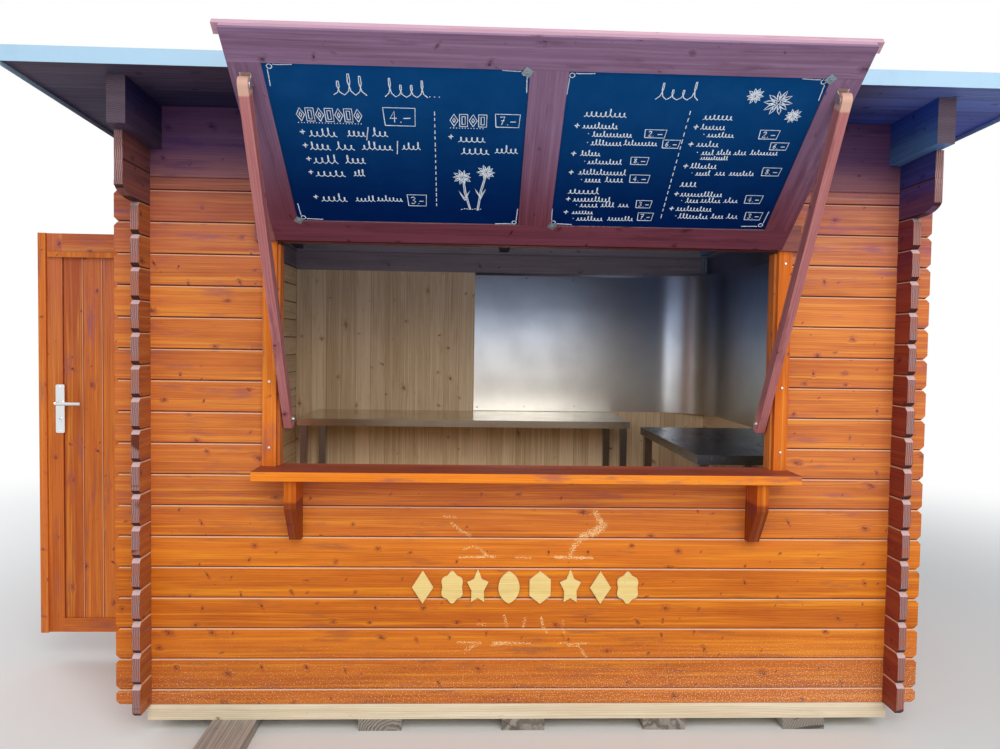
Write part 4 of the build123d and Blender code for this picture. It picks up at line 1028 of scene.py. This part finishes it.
def drawnChalk():
    dice = random.Random(11)
    lines = [scribble(*spot, dice) for spot in chalkMarks["titles"] + chalkMarks["words"]]
    for spot in chalkMarks["headings"]:
        lines += headingLines(*spot)
    for index, spot in enumerate(chalkMarks["boxes"]):
        lines += boxLines(index, *spot)
    for x, y in chalkMarks["bullets"]:
        lines += [[(x - 8, y), (x, y + 2), (x + 8, y)], [(x, y - 9), (x + 1, y), (x, y + 9)],
                  [(x - 4, y - 4), (x + 4, y + 4)]]
    lines += [[(x - 1.5, y), (x + 1.5, y + 0.5)] for x, y in chalkMarks["dots"]]
    lines += [list(bar) for bar in chalkMarks["bars"]]
    dashes = 17
    for start, end in chalkMarks["dividers"]:
        for index in range(dashes):
            low, high = index / dashes, (index + dice.uniform(0.45, 0.7)) / dashes
            lines.append([tuple(a + (b - a) * share for a, b in zip(start, end)) for share in (low, high)])
    for x, y, reach in chalkMarks["flowers"]:
        lines += flowerLines(x, y, reach, dice)
    for top, (x, y), foot in chalkMarks["stems"]:
        lines += [[top, (x, y), foot], [(top[0] + 4, top[1]), (x + 5, y), (foot[0] + 4, foot[1])]]
        lines += [[(x, y - 25), (x + side * 18, y + 8), (x + side * 10, y - 12), (x + 2, y - 35)]
                  for side in (-1, 1)]
    for index in range(8):
        lines.append([(-254 + index * 9, 164 + (index % 3) * 2), (-249 + index * 9, 165 + (index % 2) * 3)])
    for x, y, across, up in chalkMarks["corners"]:
        lines += [[(x + across * a, y - up * b) for a, b in ((10, 7), (20, 6), (66, 8))],
                  [(x - across * a, y + up * b) for a, b in ((7, 10), (7, 20), (9, 64))],
                  turned(x, y, *((8, turn) for turn in (0, 1, 2, 3, 4, 5, 6, 6.9)))]
    return lines


def makeChalk():
    drawing = curveMesh("chalkDrawing", drawnChalk(), dimensions="3D", bevel_depth=chalkMarks["width"],
                        bevel_resolution=0, use_fill_caps=True)
    place = flapMatrix(boardFace + 0.0002) @ Matrix.Diagonal((0.001, 0.001, 0.0002, 1.0))
    settle(drawing, "chalkDrawing", place, "hatch_flap", chalk)
    print("chalk drawn")


# A disc or a square plate with its seat at the origin, in edit mode with its top, towards -Z, selected
def startPlate(vertices, radius, depth):
    middle = (0, 0, -depth / 2)
    bpy.ops.object.select_all(action="DESELECT")
    bpy.ops.mesh.primitive_cylinder_add(vertices=vertices, radius=radius, depth=depth, location=middle)
    plate = bpy.context.object
    bpy.ops.object.transform_apply(location=True)
    for part in (*plate.data.vertices, *plate.data.edges):
        part.select = False
    for face in plate.data.polygons:
        face.select = face.normal.z < -0.5
    bpy.ops.object.mode_set(mode="EDIT")
    bpy.ops.mesh.select_mode(type="FACE")
    return plate


def bevelled(piece, width):
    bevel = piece.modifiers.new("bevel", "BEVEL")
    bevel.width = width
    bevel.segments = 2
    pick(piece)
    bpy.ops.object.modifier_apply(modifier="bevel")


# A domed screw head with a recess
def modelScrew(radius):
    screw = startPlate(12, radius, radius * 0.5)
    bpy.ops.mesh.inset(thickness=radius * 0.3)
    bpy.ops.transform.translate(value=(0, 0, -radius * 0.15))
    bpy.ops.mesh.inset(thickness=radius * 0.25)
    bpy.ops.mesh.extrude_region_move(TRANSFORM_OT_translate={"value": (0, 0, radius * 0.35)})
    bpy.ops.object.mode_set(mode="OBJECT")
    return screw


# Copies of one model at several places, joined into one mesh; the model itself is removed
def joinedCopies(model, places):
    copies = []
    for place in places:
        copied = bpy.data.objects.new(model.name, model.data.copy())
        bpy.context.scene.collection.objects.link(copied)
        copied.data.transform(place)
        copies.append(copied)
    bpy.data.objects.remove(model)
    pick(*copies)
    bpy.ops.object.join()
    return bpy.context.object


# Corner clips that hold the boards: a plate set cornerwise with a screw through it
clips = {
    "places": [(-0.063, 0.701), (-0.813, 0.102), (0.815, 0.706), (0.063, 0.099)],
    "side": 0.026,
    "thickness": 0.0018,
}


def makeClips():
    side, thickness = clips["side"], clips["thickness"]
    plate = startPlate(4, side * 0.72, thickness)
    bpy.ops.mesh.inset(thickness=side * 0.16)
    bpy.ops.mesh.extrude_region_move(TRANSFORM_OT_translate={"value": (0, 0, -thickness * 0.5)})
    bpy.ops.object.mode_set(mode="OBJECT")
    bevelled(plate, 0.0004)
    places = [Matrix.Translation((x, out, 0)) for x, out in clips["places"]]
    askew = Matrix.Rotation(math.radians(12), 4, "Z")
    proud = Matrix.Translation((0, 0, -thickness * 1.5))
    plates = joinedCopies(plate, [place @ askew for place in places])
    screws = joinedCopies(modelScrew(0.005), [place @ proud for place in places])
    for piece, name in ((plates, "boardClips"), (screws, "boardClipScrews")):
        piece.data.transform(Matrix.Diagonal((1, 1, -1, 1)))
        piece.data.flip_normals()
        settle(piece, name, flapMatrix(frameFace + 0.0002), "hatch_flap", clipZinc)
    print("clips made")


# Turns a flat outline upright, to face the front
upright = Matrix(((1, 0, 0), (0, 0, -1), (0, 1, 0))).to_4x4()

# Eight plain cut-outs of pale plywood on the front
cutouts = {
    "places": [-0.381, -0.272, -0.177, -0.061, 0.055, 0.168, 0.281, 0.383],
    "middle": 0.545,
    "height": 0.12,
    "width": 0.078,
    "thickness": 0.009,
    "edge": 0.0008,
    "shapes": ["diamond", "flower", "star", "leaf", "hexagon", "star", "diamond", "flower"],
    "points": {"diamond": 4, "hexagon": 6, "star": 10, "flower": 48, "leaf": 32},
}


def cutoutOutline(shape):
    count = cutouts["points"][shape]
    points = []
    for index in range(count):
        turn = 2 * math.pi * index / count
        size = 1.0
        if shape == "flower":
            size = 1.0 - 0.17 * (1 - math.cos(6 * turn)) / 2
        elif shape == "leaf":
            size = 1.0 - 0.3 * abs(math.sin(turn)) ** 0.8
        elif shape == "star":
            size = 1.0 - 0.42 * (index % 2)
        points.append((size * math.sin(turn), size * math.cos(turn)))
    widest = max(x for x, y in points)
    tallest = (max(y for x, y in points) - min(y for x, y in points)) / 2
    return [(x / widest * cutouts["width"] / 2, y / tallest * cutouts["height"] / 2)
            for x, y in reversed(points)]


def makeCutouts():
    thickness, edge = cutouts["thickness"], cutouts["edge"]
    ply = woodMaterial("plyWood", plyWood, {"run": "XZ", "seed": 0.66})
    for index, (x, shape) in enumerate(zip(cutouts["places"], cutouts["shapes"])):
        piece = flatPlate("cutout", cutoutOutline(shape), thickness - 2 * edge, bevel_depth=edge,
                          bevel_resolution=1)
        place = Matrix.Translation((x, frontFace - 0.0003 - thickness / 2, cutouts["middle"])) @ upright
        settle(piece, f"frontCutout{index + 1}", place, "hut", ply)
    print("cut-outs made")


# Above the steel sheet: its folded edge, a steel strip on the side wall and the band's last stretch; the
# steel pieces carry the sheet's painted reflections and the band's piece its painted-shade grey
upperTrim = {
    "thickness": 0.0015,
    "bend": 0.33,
    "seam": 0.0003,
    "stripTop": 2.044,
    "stripFront": -0.77,
    "cornerBend": 0.02,
}


def bentPath(across, back, bend, inset):
    reach = bend - inset
    return [(across - bend + reach * math.sin(t), back - bend + reach * math.cos(t))
            for t in [math.radians(a) for a in range(0, 91, 6)]]


def bentStrip(name, across, back, bend, start, low, high):
    thickness, front = upperTrim["thickness"], upperTrim["stripFront"]
    outer = [(start, back)] + bentPath(across, back, bend, 0.0) + [(across, front)]
    inner = [(start, back - thickness)] + bentPath(across, back, bend, thickness)
    inner.append((across - thickness, front))
    strip = flatPlate(name, outer + inner[::-1], high - low)
    settle(strip, name, Matrix.Translation((0, 0, (low + high) / 2)), "hut", splashSteel)


def makeUpperTrim():
    low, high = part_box("splash_sheet")
    bandLow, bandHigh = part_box("back_lining_band")
    seam = upperTrim["seam"]
    bentStrip("splashEdge", high.x, high.y, upperTrim["bend"], low.x, high.z + seam, bandLow.z - seam)
    bentStrip("splashSideStrip", high.x, bandLow.y - seam, upperTrim["cornerBend"], high.x - 0.04, bandLow.z,
              upperTrim["stripTop"])
    start, length = bandHigh.x + seam, high.x - bandHigh.x - 2 * seam
    bpy.ops.object.select_all(action="DESELECT")
    bpy.ops.mesh.primitive_cube_add(size=1, location=(0, 0, 0))
    end = bpy.context.object
    end.scale = (length, bandHigh.y - bandLow.y, bandHigh.z - bandLow.z)
    bpy.ops.object.transform_apply(scale=True)
    bevelled(end, 0.0015)
    middle = (start + length / 2, (bandLow.y + bandHigh.y) / 2, (bandLow.z + bandHigh.z) / 2)
    settle(end, "bandEnd", Matrix.Translation(middle), "hut",
           nodes["back_lining_band"].active_material)
    print("upper trim made")


# The lock's cylinder under the lever, with its key slot: a thin dark plate that stands for the shade in the
# keyhole
lock = {
    "middle": (-2.0315, 1.085),
    "round": 0.0085,
    "stem": 0.005,
    "drop": 0.0165,
    "out": 0.0016,
    "slot": [(-0.001, -0.0015), (0.001, -0.0015), (0.0012, 0.002), (0.0005, 0.0068), (-0.0005, 0.0068),
             (-0.0012, 0.002)],
}


def makeLock():
    reach, stem, drop = lock["round"], lock["stem"], lock["drop"]
    gap = math.asin(stem / reach)
    turns = [gap + (2 * math.pi - 2 * gap) * index / 24 for index in range(25)]
    outline = [(-reach * math.sin(t), -reach * math.cos(t) + reach * 0.4) for t in turns]
    outline += [(stem, -drop + 0.002), (stem - 0.002, -drop), (-stem + 0.002, -drop), (-stem, -drop + 0.002)]
    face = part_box("door_plates")[0].y
    across, up = lock["middle"]
    for name, line, out, material in (("lockCylinder", outline, lock["out"], handleSteel),
                                      ("lockSlot", lock["slot"], lock["out"] + 0.0003, keyholeShade)):
        place = Matrix.Translation((across, face - 0.0001 - out / 2, up)) @ upright
        settle(flatPlate(name, line, out), name, place, "side_door", material)
    print("lock made")


# Screws and rivets on the fixed parts: radius and places across and up
fixings = {
    "splashRivets": (0.006, [(-0.167, 1.021), (0.487, 1.035), (-0.165, 1.88), (0.464, 1.88), (0.15, 1.028),
                             (0.15, 1.885)]),
    "casingScrews": (0.0045, [(side * 0.942, z) for side in (-1, 1) for z in (1.06, 1.3, 1.54, 1.76)]),
    "plateScrews": (0.004, [(-2.031, 1.2305), (-2.031, 1.0335)]),
}


def makeFixings():
    facingFront = Matrix.Rotation(math.radians(-90), 4, "X")
    for name, face, body, slot, material in (
            ("splashRivets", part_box("splash_sheet")[1].y - 0.002 - 0.0002, "hut", "stainless", handleSteel),
            ("casingScrews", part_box("hatch_casings")[0].y - 0.0001, "hut", "zinc", zinc),
            ("plateScrews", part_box("door_plates")[0].y + 0.0001, "side_door", "zinc", handleSteel)):
        radius, places = fixings[name]
        spots = [Matrix.Translation((x, face, z)) @ facingFront for x, z in places]
        settle(joinedCopies(modelScrew(radius), spots), name, Matrix.Identity(4), body, material)
    print("fixings made")


makeCamera()
makeStudio()
finishWalls()
finishJoinery()
finishMetal()
makeChalk()
makeClips()
makeCutouts()
makeUpperTrim()
makeLock()
makeFixings()

bpy.context.scene.view_settings.view_transform = "Standard"
